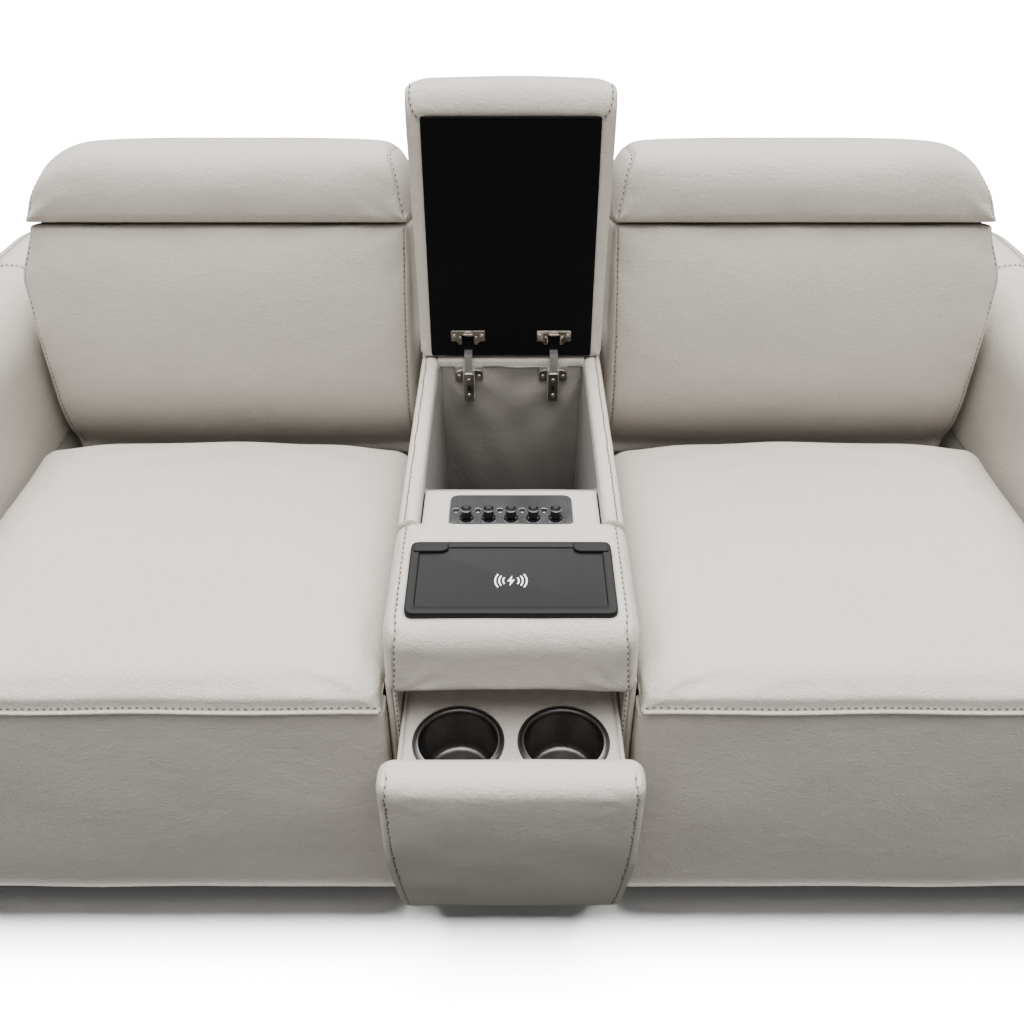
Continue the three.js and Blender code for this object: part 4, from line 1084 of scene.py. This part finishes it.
def console_nose():
    low, high = NOSE_LOW + (0, 0, NOSE_LIFT), NOSE_HIGH
    rise = 0.013
    crown = 0.003
    pad_low, pad_high = extent("charging_pad")
    top = high[2] - rise

    def shape(p, u, v, t):
        up, down, ahead = np.clip(t, 0, 1), np.clip(-t, 0, 1), np.clip(-v, 0, 1)
        p[:, 2] += ((1 + v) / 2 * rise + crown * (1 - u * u) * (1 - v * v)) * up
        p[:, 2] += 0.007 * (1 - u * u) * down ** 2 * ahead
        uneven(p, (0, 0.6, 0.8), 0.0014, 0.06, 12.5)
        under = (np.abs(p[:, 0]) < pad_high[0] - 0.004) & (p[:, 1] > pad_low[1] + 0.004)
        under &= (p[:, 1] < pad_high[1] - 0.004) & (t > 0)
        p[:, 2] -= np.where(under, 0.008, 0)
        for side in (-1, 1):
            gather(p, (side * 0.122, low[1], low[2] + 0.012), (0, -1, 0), (-side, 0, 0), 0.06, 0.0012, 9)
            gather(p, (side * 0.124, high[1] - 0.006, high[2]), (0, 0, 1), (-side, 0, 0), 0.035, 0.0008, 7)

    block = Block(low - (NOSE_PROUD, 0, 0), (high[0] + NOSE_PROUD, high[1], top), (44, 34, 16), (4, 4, 4),
                  (0.016, 0.025), (0.022, 0.034), (0.004, 0.008), 0.018, 0.028, shape)
    seams = [block.line((i, -1, -1), (i, 0, -1), (i, 0, 0)) for i in (2, -3)]
    tucks = [block.line((2, -5, -1), (6, -5, -1)), block.line((-3, -5, -1), (-7, -5, -1))]
    sewn = [(s, 0.0020) for s in seams] + [(s, 0.0010) for s in tucks]
    nose = Cushion("console_nose", block, leather, seams=sewn)
    twin_stitches("nose_stitches", nose, seams[1], 0.0026, "base")
    fit_out(nose.obj, "base", "console_nose", slot="leather", fill=0.8)


BUTTON_PITCH = 0.028
FLUSH_BEHIND = 0.0165  # how far behind the buttons the flush spots lie


def controls():
    def shape(p, u, v, t):
        uneven(p, (0, 0, 1), 0.0006, 0.05, 14.2)

    low, high = BLOCK_LOW, BLOCK_HIGH
    half = BIN_INNER - 0.0015
    block = Block((-half, *low[1:]), (half, *high[1:]), (34, 14, 10), (2, 3, 3), (0.002, 0.002),
                  (0.002, 0.003), (0.003, 0.006), 0.003, 0.005, shape)
    body = Cushion("control_block", block, leather)
    fit_out(body.obj, "base", "control_block", slot="leather", fill=0.2)

    low, high = extent("control_plate")
    middle = (low + high) / 2
    outline = rectangle(high[0] - low[0], high[1] - low[1], 0.013, 8)
    panel = plate("control_plate", outline, high[2] - low[2], polished,
                  Matrix.Translation((middle[0], middle[1], low[2])), 0.0011, 4)
    fit_out(panel, "base", "control_plate", slot="control_plate")

    base = high[2] - 0.0002
    for number in range(1, 6):
        foot, top = extent(f"control_button_{number}")
        x, y, cap = (foot[0] + top[0]) / 2, (foot[1] + top[1]) / 2, top[2]
        head, stem, seat = (top[0] - foot[0]) / 2, 0.0057, cap - 0.013
        profile = [(0, foot[2]), (stem, foot[2]), (stem, seat), (head - 0.0006, seat), (head, seat + 0.0006)]
        profile += stretch(head, cap, (0, -0.0014), (-0.0004, -0.0005), (-0.0014, 0), (-0.0021, -0.0003),
                           (-0.0032, -0.0013))
        button = lathe(f"control_button_{number}", profile + [(0, cap - 0.0017)], (x, y, 0), gloss, 48)
        fit_out(button, f"button_{number}", f"control_button_{number}", slot="button_black")
        ring = stretch(head, cap, (0.00005, -0.0026), (0.0003, -0.0021), (0.0003, -0.0012), (0.00005, -0.0008),
                       (0.00005, -0.0026))
        fit_out(lathe(f"button_ring_{number}", ring, (x, y, 0), nickel, 48), f"button_{number}", slot="nickel")
        collar = stretch(head, base, (0.0022, 0), (0.0022, 0.0022), (0.0018, 0.0028), (0.0010, 0.0028),
                         (0.0007, 0.0024), (0.0007, 0), (0.0022, 0))
        fit_out(lathe(f"button_collar_{number}", collar, (x, y, 0), gloss, 48), "base", slot="button_black")
        place = (x - BUTTON_PITCH / 2, y + FLUSH_BEHIND, 0)
        flush = stretch(0, base, (0, 0), (0.0042, 0), (0.0042, 0.0006), (0.0038, 0.0009), (0.0033, 0.0009),
                        (0.0029, 0.0005), (0.0014, 0.0004), (0.0010, 0.0007), (0, 0.0007))
        fit_out(lathe(f"flush_ring_{number}", flush, place, gloss, 40), "base", slot="button_black")
        edge = stretch(0, base, (0.0042, 0), (0.0047, 0), (0.0047, 0.0004), (0.0044, 0.0007), (0.0042, 0.0006),
                       (0.0042, 0))
        fit_out(lathe(f"flush_edge_{number}", edge, place, polished, 40), "base", slot="control_plate")


def charging_pad():
    width, depth, tall = 0.236, 0.118, 0.009
    sunk = tall - 0.0024
    tilt = math.atan2(0.013, 0.189)
    low = extent("charging_pad")[0]
    place = Matrix.Translation((0, low[1], low[2] + 0.0001)) @ Matrix.Rotation(tilt, 4, "X")
    place = place @ Matrix.Translation((0, depth / 2, 0))

    def outline(inset):
        return rectangle(width - 2 * inset, depth - 2 * inset, max(0.002, 0.010 - inset * 0.5), 6)

    profile = [(0.0006, 0), (0, 0.0008)]
    profile += stretch(0, tall, (0, -0.0020), (0.0005, -0.0008), (0.0016, -0.0001), (0.0026, 0), (0.0098, 0),
                       (0.0103, -0.0003), (0.0107, -0.0016))
    profile += [(0.0112, sunk + 0.0002), (0.0120, sunk)]
    tray = dish("charging_pad", profile, outline, charger_plastic, place)
    fit_out(tray, "base", "charging_pad", slot="charger_plastic")
    for end, sign in SIDES:
        x, y = sign * (width / 2 - 0.0325), depth / 2 - 0.0135
        corners = ((-0.012, -0.0015), (-0.006, -0.0055), (0.0290, -0.0055), (0.0290, 0.0105), (-0.012, 0.0105))
        corners = [(x + sign * out, y + back) for out, back in corners]
        raised = plate(f"charger_corner_{end}", rounded(corners[::sign], 0.003), tall - 0.0018, charger_plastic,
                       place @ Matrix.Translation((0, 0, 0.0038)), 0.0016, 4)
        fit_out(raised, "base", slot="charger_plastic")
    sign_place = place @ Matrix.Translation((0, -0.006, sunk + 0.0001))
    bolt = [(0.0016, 0.0085), (-0.0044, -0.0012), (-0.0006, -0.0012), (-0.0018, -0.0085), (0.0044, 0.0014),
            (0.0006, 0.0014)]
    signs = [("bolt", bolt)]
    for side in (-1, 1):
        for number, radius in enumerate((0.0090, 0.0135, 0.0180)):
            spread = np.linspace(-0.62, 0.62, 15)
            band = [((radius + w) * math.cos(a) * side, (radius + w) * math.sin(a) * side)
                    for w, run in ((0.0009, spread), (-0.0009, spread[::-1])) for a in run]
            signs.append((f"wave_{number}_{'left' if side < 0 else 'right'}", band))
    for name, shape in signs:
        mark = plate(f"charger_{name}", shape, 0.00022, sign_white, sign_place, 0)
        fit_out(mark, "base", slot="charger_plastic")


# Lid
LID_HINGE = (0, 0.1655, 0.5848)
LID_PLACE = Matrix.Translation(LID_HINGE) @ Matrix.Rotation(math.radians(-92), 4, "X")
LID_END = 0.0445  # how far down the lid's padded end is rounded
LID_END_ROUND = 0.038
LID_FLARE = 0.004


def lid():
    low, high = extent("lid_pad", LID_PLACE)
    crown = 0.008
    felt_low, felt_high = extent("lid_board", LID_PLACE)
    face = low[2]
    felt_top = low[1] + LID_END - 0.003

    def shape(p, u, v, t):
        p[:, 2] += crown * (1 - u * u) * (1 - v * v) * np.clip(t, 0, 1)
        inside = (np.abs(p[:, 0]) < felt_high[0] - 0.002) & (p[:, 1] > felt_top + 0.002)
        inside &= (p[:, 1] < felt_high[1] - 0.002) & (p[:, 2] < face + 0.002)
        end = np.clip((low[1] + LID_END - p[:, 1]) / LID_END, 0, 1)
        depth = np.clip((p[:, 2] - face) / (high[2] - crown - face), 0, 1)
        p[:, 2] += LID_END_ROUND * (1 - np.sqrt(1 - end * end)) * (1 - depth) ** 1.5
        p[:, 0] += LID_FLARE * u * np.abs(u) ** 3 * smoothstep(-v, -0.6, 1)
        p[:, 1] += 0.004 * u * u * np.clip(-v, 0, 1) ** 6
        uneven(p, (0, 0.4, 0.9), 0.0012, 0.07, 17.3)
        for side in (-1, 1):
            gather(p, (side * 0.126, high[1] - 0.012, face), (0, 0, -1), (-side, 0, 0), 0.05, 0.0016, 8, 0.5)
            gather(p, (side * 0.120, felt_top, face), (0, 0, -1), (-side, 0, 0), 0.035, 0.0012, 9, 1.2)
            gather(p, (side * 0.130, low[1], face + 0.01), (0, -1, 0), (-side, 0, 0), 0.035, 0.0008, 8, 1.0)
        p[:, 2] = np.maximum(p[:, 2], face + 0.0003) + np.where(inside, 0.006, 0)

    block = Block(low, high - (0, 0, crown), (46, 60, 14), (4, 4, 4), (0.009, 0.028), (0.009, 0.024),
                  (0.010, 0.012), 0.0055, 0.026, shape)
    mitres = [block.line((i, 0, -1), (i, 0, 0), (i, 6, 0), (j, 9, 0)) for i, j in ((2, 5), (-3, -6))]
    long_seams = [block.line((i, 0, -4), (i, -1, -4)) for i in (0, -1)]
    sewn = [(s, 0.0018) for s in mitres] + [(s, 0.0016) for s in long_seams]
    pad = Cushion("lid_pad", block, leather, LID_PLACE, sewn)
    twin_stitches("lid_mitre_stitches", pad, mitres[1], 0.0022, "lid")
    twin_stitches("lid_side_stitches", pad, long_seams[1], 0.0026, "lid")
    fit_out(pad.obj, "lid", "lid_pad", slot="leather", fill=0.8)

    board_low = (felt_low[0], felt_top, face - 0.0001)
    board_high = (felt_high[0], felt_high[1], felt_low[2] + 0.008)
    block = Block(board_low, board_high, (40, 60, 3), (2, 2, 1), (0.004, 0.002), (0.004, 0.002),
                  (0.004, 0.002), 0.0015, 0.001)
    board = Cushion("lid_board", block, felt, LID_PLACE)
    fit_out(board.obj, "lid", "lid_board", slot="felt", fill=0.2)
    loop = rectangle(2 * felt_high[0] - 0.005, felt_high[1] - felt_top - 0.005, 0.006, 6,
                     (0, (felt_top + felt_high[1]) / 2))
    loop = np.array([(*p, face + 0.0011) for p in loop + loop[:1]])
    path, _ = even(loop, 0.008)
    hem = tube("felt_hem", np.concatenate([path, path[:1]]), 0.0017, felt, 8)
    hem.data.transform(LID_PLACE)
    fit_out(hem, "lid", slot="felt")


# Hinges
def screw(name, place, radius, body):
    """A round-headed screw with a sunk socket, along its place's z, and its twin."""
    profile = [(0, -0.0004), (radius, -0.0004), (radius, 0.0004), (radius * 0.86, 0.0010),
               (radius * 0.55, 0.0013), (radius * 0.42, 0.0013), (radius * 0.36, 0.0004), (0, 0.0003)]
    head = lathe(f"{name}_right", profile, (0, 0, 0), screw_steel, 28)
    head.data.transform(place)
    pair(head, name, body, "nickel")


def fitting(name, outline, thickness, place, body, edge=0.0, segments=2, material=None):
    """A small flat piece and its twin, of nickel or with a dark material of its own."""
    piece = plate(f"{name}_right", outline, thickness, material or nickel, None, edge, segments)
    piece.data.transform(place)
    if place.determinant() < 0:
        piece.data.flip_normals()
    pair(piece, name, body, "gunmetal" if material else "nickel")


def hinges():
    dress(nickel, *both("hinge_cup"), edge=0.0006)
    dress(link_steel, *both("hinge_arm"), edge=0.0008)
    low, high = extent("hinge_cup_right", LID_PLACE)
    arm_low, arm_high = extent("hinge_arm_right")
    middle, half, front = (low[0] + high[0]) / 2, (high[0] - low[0]) / 2, low[2]
    flange_end, neck = low[1] + 0.0175, 0.0155
    tongue, tongue_half, window_half = -0.0122, 0.0125, 0.0092
    opening, arm_half = arm_low[1] - LID_HINGE[1] - 0.0012, 0.0094

    def under(lift):
        return LID_PLACE @ Matrix.Translation((middle, 0, front + lift)) @ Matrix.Diagonal((1, 1, -1, 1))

    right = [(half, low[1]), (half, flange_end - 0.006), (neck + 0.003, flange_end), (neck, flange_end + 0.003),
             (tongue_half, tongue), (arm_half, tongue), (arm_half, opening)]
    left = [(-x, y) for x, y in right]
    flange = rounded(left[:1] + right + left[:0:-1], 0.0016)
    fitting("hinge_flange", flange, 0.0009, under(-0.0002), "lid", 0.0003)
    window = [(-window_half, -0.029), (window_half, -0.029), (window_half, tongue - 0.002),
              (-window_half, tongue - 0.002)]
    fitting("hinge_well", rounded(window, 0.0025), 0.0004, under(0.0178), "lid", material=gunmetal)
    for name, x, y, radius in (("cup_screw_outer", half - 0.0048, 0.0080, 0.0030),
                               ("cup_screw_inner", 0.0048 - half, 0.0080, 0.0030),
                               ("cup_rivet_outer", 0.0125, 0.0105, 0.0017),
                               ("cup_rivet_inner", -0.0125, 0.0105, 0.0017)):
        place = Matrix.Translation((middle + x, low[1] + y, front - 0.0011)) @ Matrix.Rotation(math.pi, 4, "X")
        screw(name, LID_PLACE @ place, radius, "lid")
    for name, width, start, end, lift in (("hinge_bridge", 0.0085, -0.0068, -0.0004, 0.0022),
                                          ("hinge_lip", 0.0150, -0.0030, -0.0002, 0.0026)):
        bar = rectangle(width, end - start, 0.0014, 4, (0, opening + (start + end) / 2))
        fitting(name, bar, lift, under(-0.0010), "lid", 0.0006, 3)

    middle = (arm_low[0] + arm_high[0]) / 2
    front, base, wing_front = arm_low[1], arm_high[2] - 0.0325, BIN_BACK - 0.0023

    def upright(x, y, z=0.0):
        return Matrix.Translation((middle + x, y, z)) @ Matrix.Rotation(math.pi / 2, 4, "X")

    half, wide = 0.0078, 0.0215
    cover = [(-half, base - 0.050), (half, base - 0.050), (half, base), (-half, base)]
    fitting("hinge_body", rounded(cover, 0.005, 8), 0.0020, upright(0, front + 0.0004), "base", 0.0010, 3)
    wing = [(-wide, base - 0.021), (wide, base - 0.021), (wide, base - 0.004), (0.013, base - 0.001),
            (-0.013, base - 0.001), (-wide, base - 0.004)]
    fitting("hinge_wings", rounded(wing, 0.004, 6), 0.0009, upright(0, wing_front + 0.0004), "base", 0.0004)
    front -= 0.0016
    for name, x, y, z, radius in (("wing_screw_outer", 0.0158, wing_front - 0.0006, -0.0125, 0.0032),
                                  ("wing_screw_inner", -0.0158, wing_front - 0.0006, -0.0125, 0.0032),
                                  ("arm_screw_upper", 0, front, -0.012, 0.0033),
                                  ("arm_screw_lower", 0, front, -0.0385, 0.0033)):
        screw(name, upright(x, y, base + z), radius, "base")
    fitting("arm_slot", rectangle(0.0052, 0.0105, 0.0025, 6, (0, base - 0.0255)), 0.0003,
            upright(0, front + 0.0001), "base", material=gunmetal)


# Drawer
CUP_FLOOR = 0.018
CUP_HOLE = 0.0483


def drawer_front():
    low, high = extent("drawer_front")
    toe, rear_toe, knee, radius = 0.092, 0.071, 0.250, 0.018
    height = high[2] - low[2]
    thick = 0.047
    proud = 0.003

    def shape(p, u, v, t):
        toe_height = height - radius
        drop = np.clip((low[2] + toe_height - p[:, 2]) / toe_height, 0, 1)
        behind = rear_toe * np.clip((knee - p[:, 2]) / (knee - low[2]), 0, 1)
        ahead = np.clip(-v, 0, 1)
        p[:, 1] += behind + (toe * drop ** 1.5 - behind) * ahead
        p[:, 0] += np.sign(u) * np.abs(u) ** 4 * proud * smoothstep(p[:, 2], low[2], low[2] + 0.18) * ahead
        p[:, 1] -= ahead * 0.003 * (1 - u * u) * (1 - t ** 4)
        uneven(p, (0, 1, 0), 0.0016, 0.08, 15.7)
        for side in (-1, 1):
            corner = (side * 0.130, low[1] + 0.004, high[2] - 0.018)
            gather(p, corner, (0, -1, 0), (-side, 0, 0), 0.05, 0.0010, 8, 0.8)

    block = Block(low, (high[0], low[1] + thick, high[2]), (40, 9, 48), (4, 4, 4), (0.016, 0.020),
                  (0.016, 0.024), (0.008, 0.014), 0.018, 0.020, shape)
    seams = [block.line((i, 0, 1), (i, 0, -1), (i, 3, -1)) for i in (2, -3)]
    front = Cushion("drawer_front", block, leather, seams=seams, sink=0.0020)
    twin_stitches("drawer_stitches", front, seams[1][1:], -0.0026, "drawer")
    fit_out(front.obj, "drawer", "drawer_front", slot="leather", fill=0.8)


def drawer_inside():
    low, high = extent("drawer_tray")
    cups = [extent(f"cup_{end}") for end, _ in SIDES]
    places = [((a[0] + b[0]) / 2, (a[1] + b[1]) / 2) for a, b in cups]

    def shape(p, u, v, t):
        uneven(p, (0, 0, 1), 0.0007, 0.05, 19.4)

    block = Block(low, high, (40, 40, 3), (2, 2, 1), (0.003, 0.006), (0.002, 0.002), (0.003, 0.004),
                  0.002, 0.003, shape)
    seams = [block.line((i, 0, -1), (i, -1, -1)) for i in (2, -3)]
    tray = Cushion("drawer_tray", block, leather, seams=seams, sink=0.0022)
    drill = [(0, -0.1), (CUP_HOLE, -0.1), (CUP_HOLE, 0.1), (0, 0.1)]
    for number, (x, y) in enumerate(places):
        cutter = lathe(f"cutter_{number}", drill, (x, y, high[2]), leather)
        hole = tray.obj.modifiers.new("hole", "BOOLEAN")
        hole.object, hole.operation, hole.solver = cutter, "DIFFERENCE", "EXACT"
        applied(tray.obj)
        bpy.data.objects.remove(cutter)
    crisp(tray.obj, 50)
    fit_out(tray.obj, "drawer", "drawer_tray", slot="leather", fill=0.2)

    for (end, _), (foot, top), (x, y) in zip(SIDES, cups, places):
        seat, rim, deep = high[2] + 0.0002, top[2], foot[2]
        wide, bore, wall = (top[0] - foot[0]) / 2, 0.045, 0.0465
        well = deep + CUP_FLOOR
        profile = [(0, deep), (wall - 0.003, deep), (wall, deep + 0.003), (wall, seat)]
        profile += stretch(wide, seat, (-0.0022, 0), (-0.0022, 0.0014))
        profile += stretch(wide, rim, (-0.0034, -0.0012), (-0.0050, -0.0002))
        profile += stretch(bore, rim, (0.0032, 0), (0.0022, -0.0003), (0.0014, -0.0010), (0.0006, -0.0030),
                           (0, -0.0050))
        profile += stretch(bore, seat, (-0.0002, -0.004))
        profile += stretch(bore, well, (-0.0040, 0.011), (-0.0058, 0.0045), (-0.0085, 0.0016),
                           (-0.0130, 0.0004))
        cup = lathe(f"cup_{end}", profile + [(0.020, well), (0, well)], (x, y, 0), brushed_cup_painted_reflection, 96)
        fit_out(cup, "drawer", f"cup_{end}", slot="gunmetal")
        gasket = stretch(wide, seat, (-0.0026, -0.0001), (0, -0.0001), (0, 0.0010), (-0.0007, 0.0019),
                         (-0.0018, 0.0022), (-0.0026, 0.0018), (-0.0026, -0.0001))
        fit_out(lathe(f"cup_gasket_{end}", gasket, (x, y, 0), black_plastic, 96), "drawer",
                slot="black_plastic")
        line = stretch(bore, rim, (0.0030, -0.0001), (0.0036, 0.0003), (0.0030, 0.0005), (0.0022, 0.0002),
                       (0.0030, -0.0001))
        fit_out(lathe(f"cup_line_{end}", line, (x, y, 0), bright_steel, 96), "drawer", slot="bright_steel")


# Frames and mechanisms
def mechanisms():
    dress(painted_steel, *both("seat_frame"), *both("back_frame"), edge=0.0012)
    dress(painted_steel, *both("footrest_upper_link"), *both("footrest_lower_link"), edge=0.0010)
    dress(plywood, *both("footrest_board"), "drawer_box", edge=0.0010)
    drawer_pieces.append(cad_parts["drawer_box"])
    dress(black_plastic, *both("footrest_actuator"), *both("recline_motor"), edge=0.0020)
    dress(bright_steel, *both("footrest_rod"), *both("drawer_runner"), edge=0.0008)
    low, high = extent("footrest_rod_right")
    x, z, radius = (low[0] + high[0]) / 2, (low[2] + high[2]) / 2, (high[0] - low[0]) / 2
    length, ends = high[1] - low[1], radius * 0.75
    profile = [(0, 0), (ends, 0), (radius, 0.0020), (radius, length - 0.0020), (ends, length), (0, length)]
    rod = lathe("footrest_rod_right", profile, (x, low[1], z), bright_steel, 48, True)
    pair(rod, "footrest_rod", "actuator_rod_{}", "bright_steel")
    low, high = extent("footrest_actuator_right")
    start, end, tube_radius = low[1], high[1] - 0.0605, 0.0176
    sleeve = [(0.0104, 0), (tube_radius - 0.0015, -0.0004), (tube_radius, 0.001), (tube_radius, end - start),
              (0.0104, end - start), (0.0104, 0)]
    housing = lathe("actuator_sleeve_right", sleeve, (x, start, z), black_plastic, 48, True)
    pair(housing, "actuator_sleeve", "base", "black_plastic")


for build in (seat_cushion, footrest_pad, back_cushion, headrest, back_cover, arm, feet, console_sides,
              console_rear, storage_bin, console_nose, controls, charging_pad, lid, hinges, drawer_front,
              drawer_inside, mechanisms):
    build()


# Studio
SKY, HORIZON, GROUND = 0.13, 0.30, 0.02  # brightness overhead, at eye level and from below
SOFTBOX = {"strength": 12.0, "tilt": math.radians(-6), "spread": math.radians(86)}
FRONT_FILL = {"strength": 0.65, "tilt": math.radians(62), "spread": math.radians(60)}
FLOOR_WASH = {"strength": 60.0, "tilt": math.radians(-7.5), "spread": math.radians(16)}
FLOOR_HALF = 30


def light_group(name, members, state):
    group = bpy.data.collections.new(name)
    for member in members:
        group.objects.link(member)
    for entry in group.collection_objects:
        entry.light_linking.link_state = state
    return group


def add_sun(name, strength, tilt, spread, receiver, state, through=()):
    """A wide, far light; tilt leans it to the camera's side. It lights or spares the receiver."""
    sun = bpy.data.objects.new(name, bpy.data.lights.new(name, "SUN"))
    bpy.context.scene.collection.objects.link(sun)
    sun.rotation_euler = (tilt, 0, 0)
    sun.data.energy, sun.data.angle = strength, spread
    sun.light_linking.receiver_collection = light_group(f"{name}_receivers", [receiver], state)
    if through:
        sun.light_linking.blocker_collection = light_group(f"{name}_passed", through, "EXCLUDE")


def set_studio():
    size = FLOOR_HALF
    corners = [(-size, -size, 0), (size, -size, 0), (size, size, 0), (-size, size, 0)]
    floor = solid("floor", corners, [(0, 1, 2, 3)])
    f = Finish("studio_floor")
    speck = f.noise(3, 2)
    floor.data.materials.append(f.surface(Base_Color=f.mix(speck, (0.93, 0.93, 0.93), (0.95, 0.95, 0.95)),
                                          Roughness=0.7 + speck * 0.05, Specular_IOR_Level=0.1))
    floor.visible_diffuse = False
    floor.visible_glossy = False
    world = bpy.data.worlds.new("studio")
    bpy.context.scene.world = world
    world.use_nodes = True
    tree = world.node_tree
    place = tree.nodes.new("ShaderNodeTexCoord")
    split = tree.nodes.new("ShaderNodeSeparateXYZ")
    spread = tree.nodes.new("ShaderNodeMapRange")
    spread.inputs["From Min"].default_value = -1
    ramp = tree.nodes.new("ShaderNodeValToRGB")
    Finish.set_stops(ramp.color_ramp, [(0, GROUND), (0.46, GROUND), (0.54, HORIZON), (1, SKY)])
    tree.links.new(place.outputs["Generated"], split.inputs[0])
    tree.links.new(split.outputs["Z"], spread.inputs["Value"])
    tree.links.new(spread.outputs["Result"], ramp.inputs["Fac"])
    tree.links.new(ramp.outputs["Color"], tree.nodes["Background"].inputs["Color"])
    add_sun("softbox", **SOFTBOX, receiver=floor, state="EXCLUDE")
    add_sun("front_fill", **FRONT_FILL, receiver=floor, state="EXCLUDE")
    add_sun("floor_wash", **FLOOR_WASH, receiver=floor, state="INCLUDE", through=drawer_pieces)


set_studio()
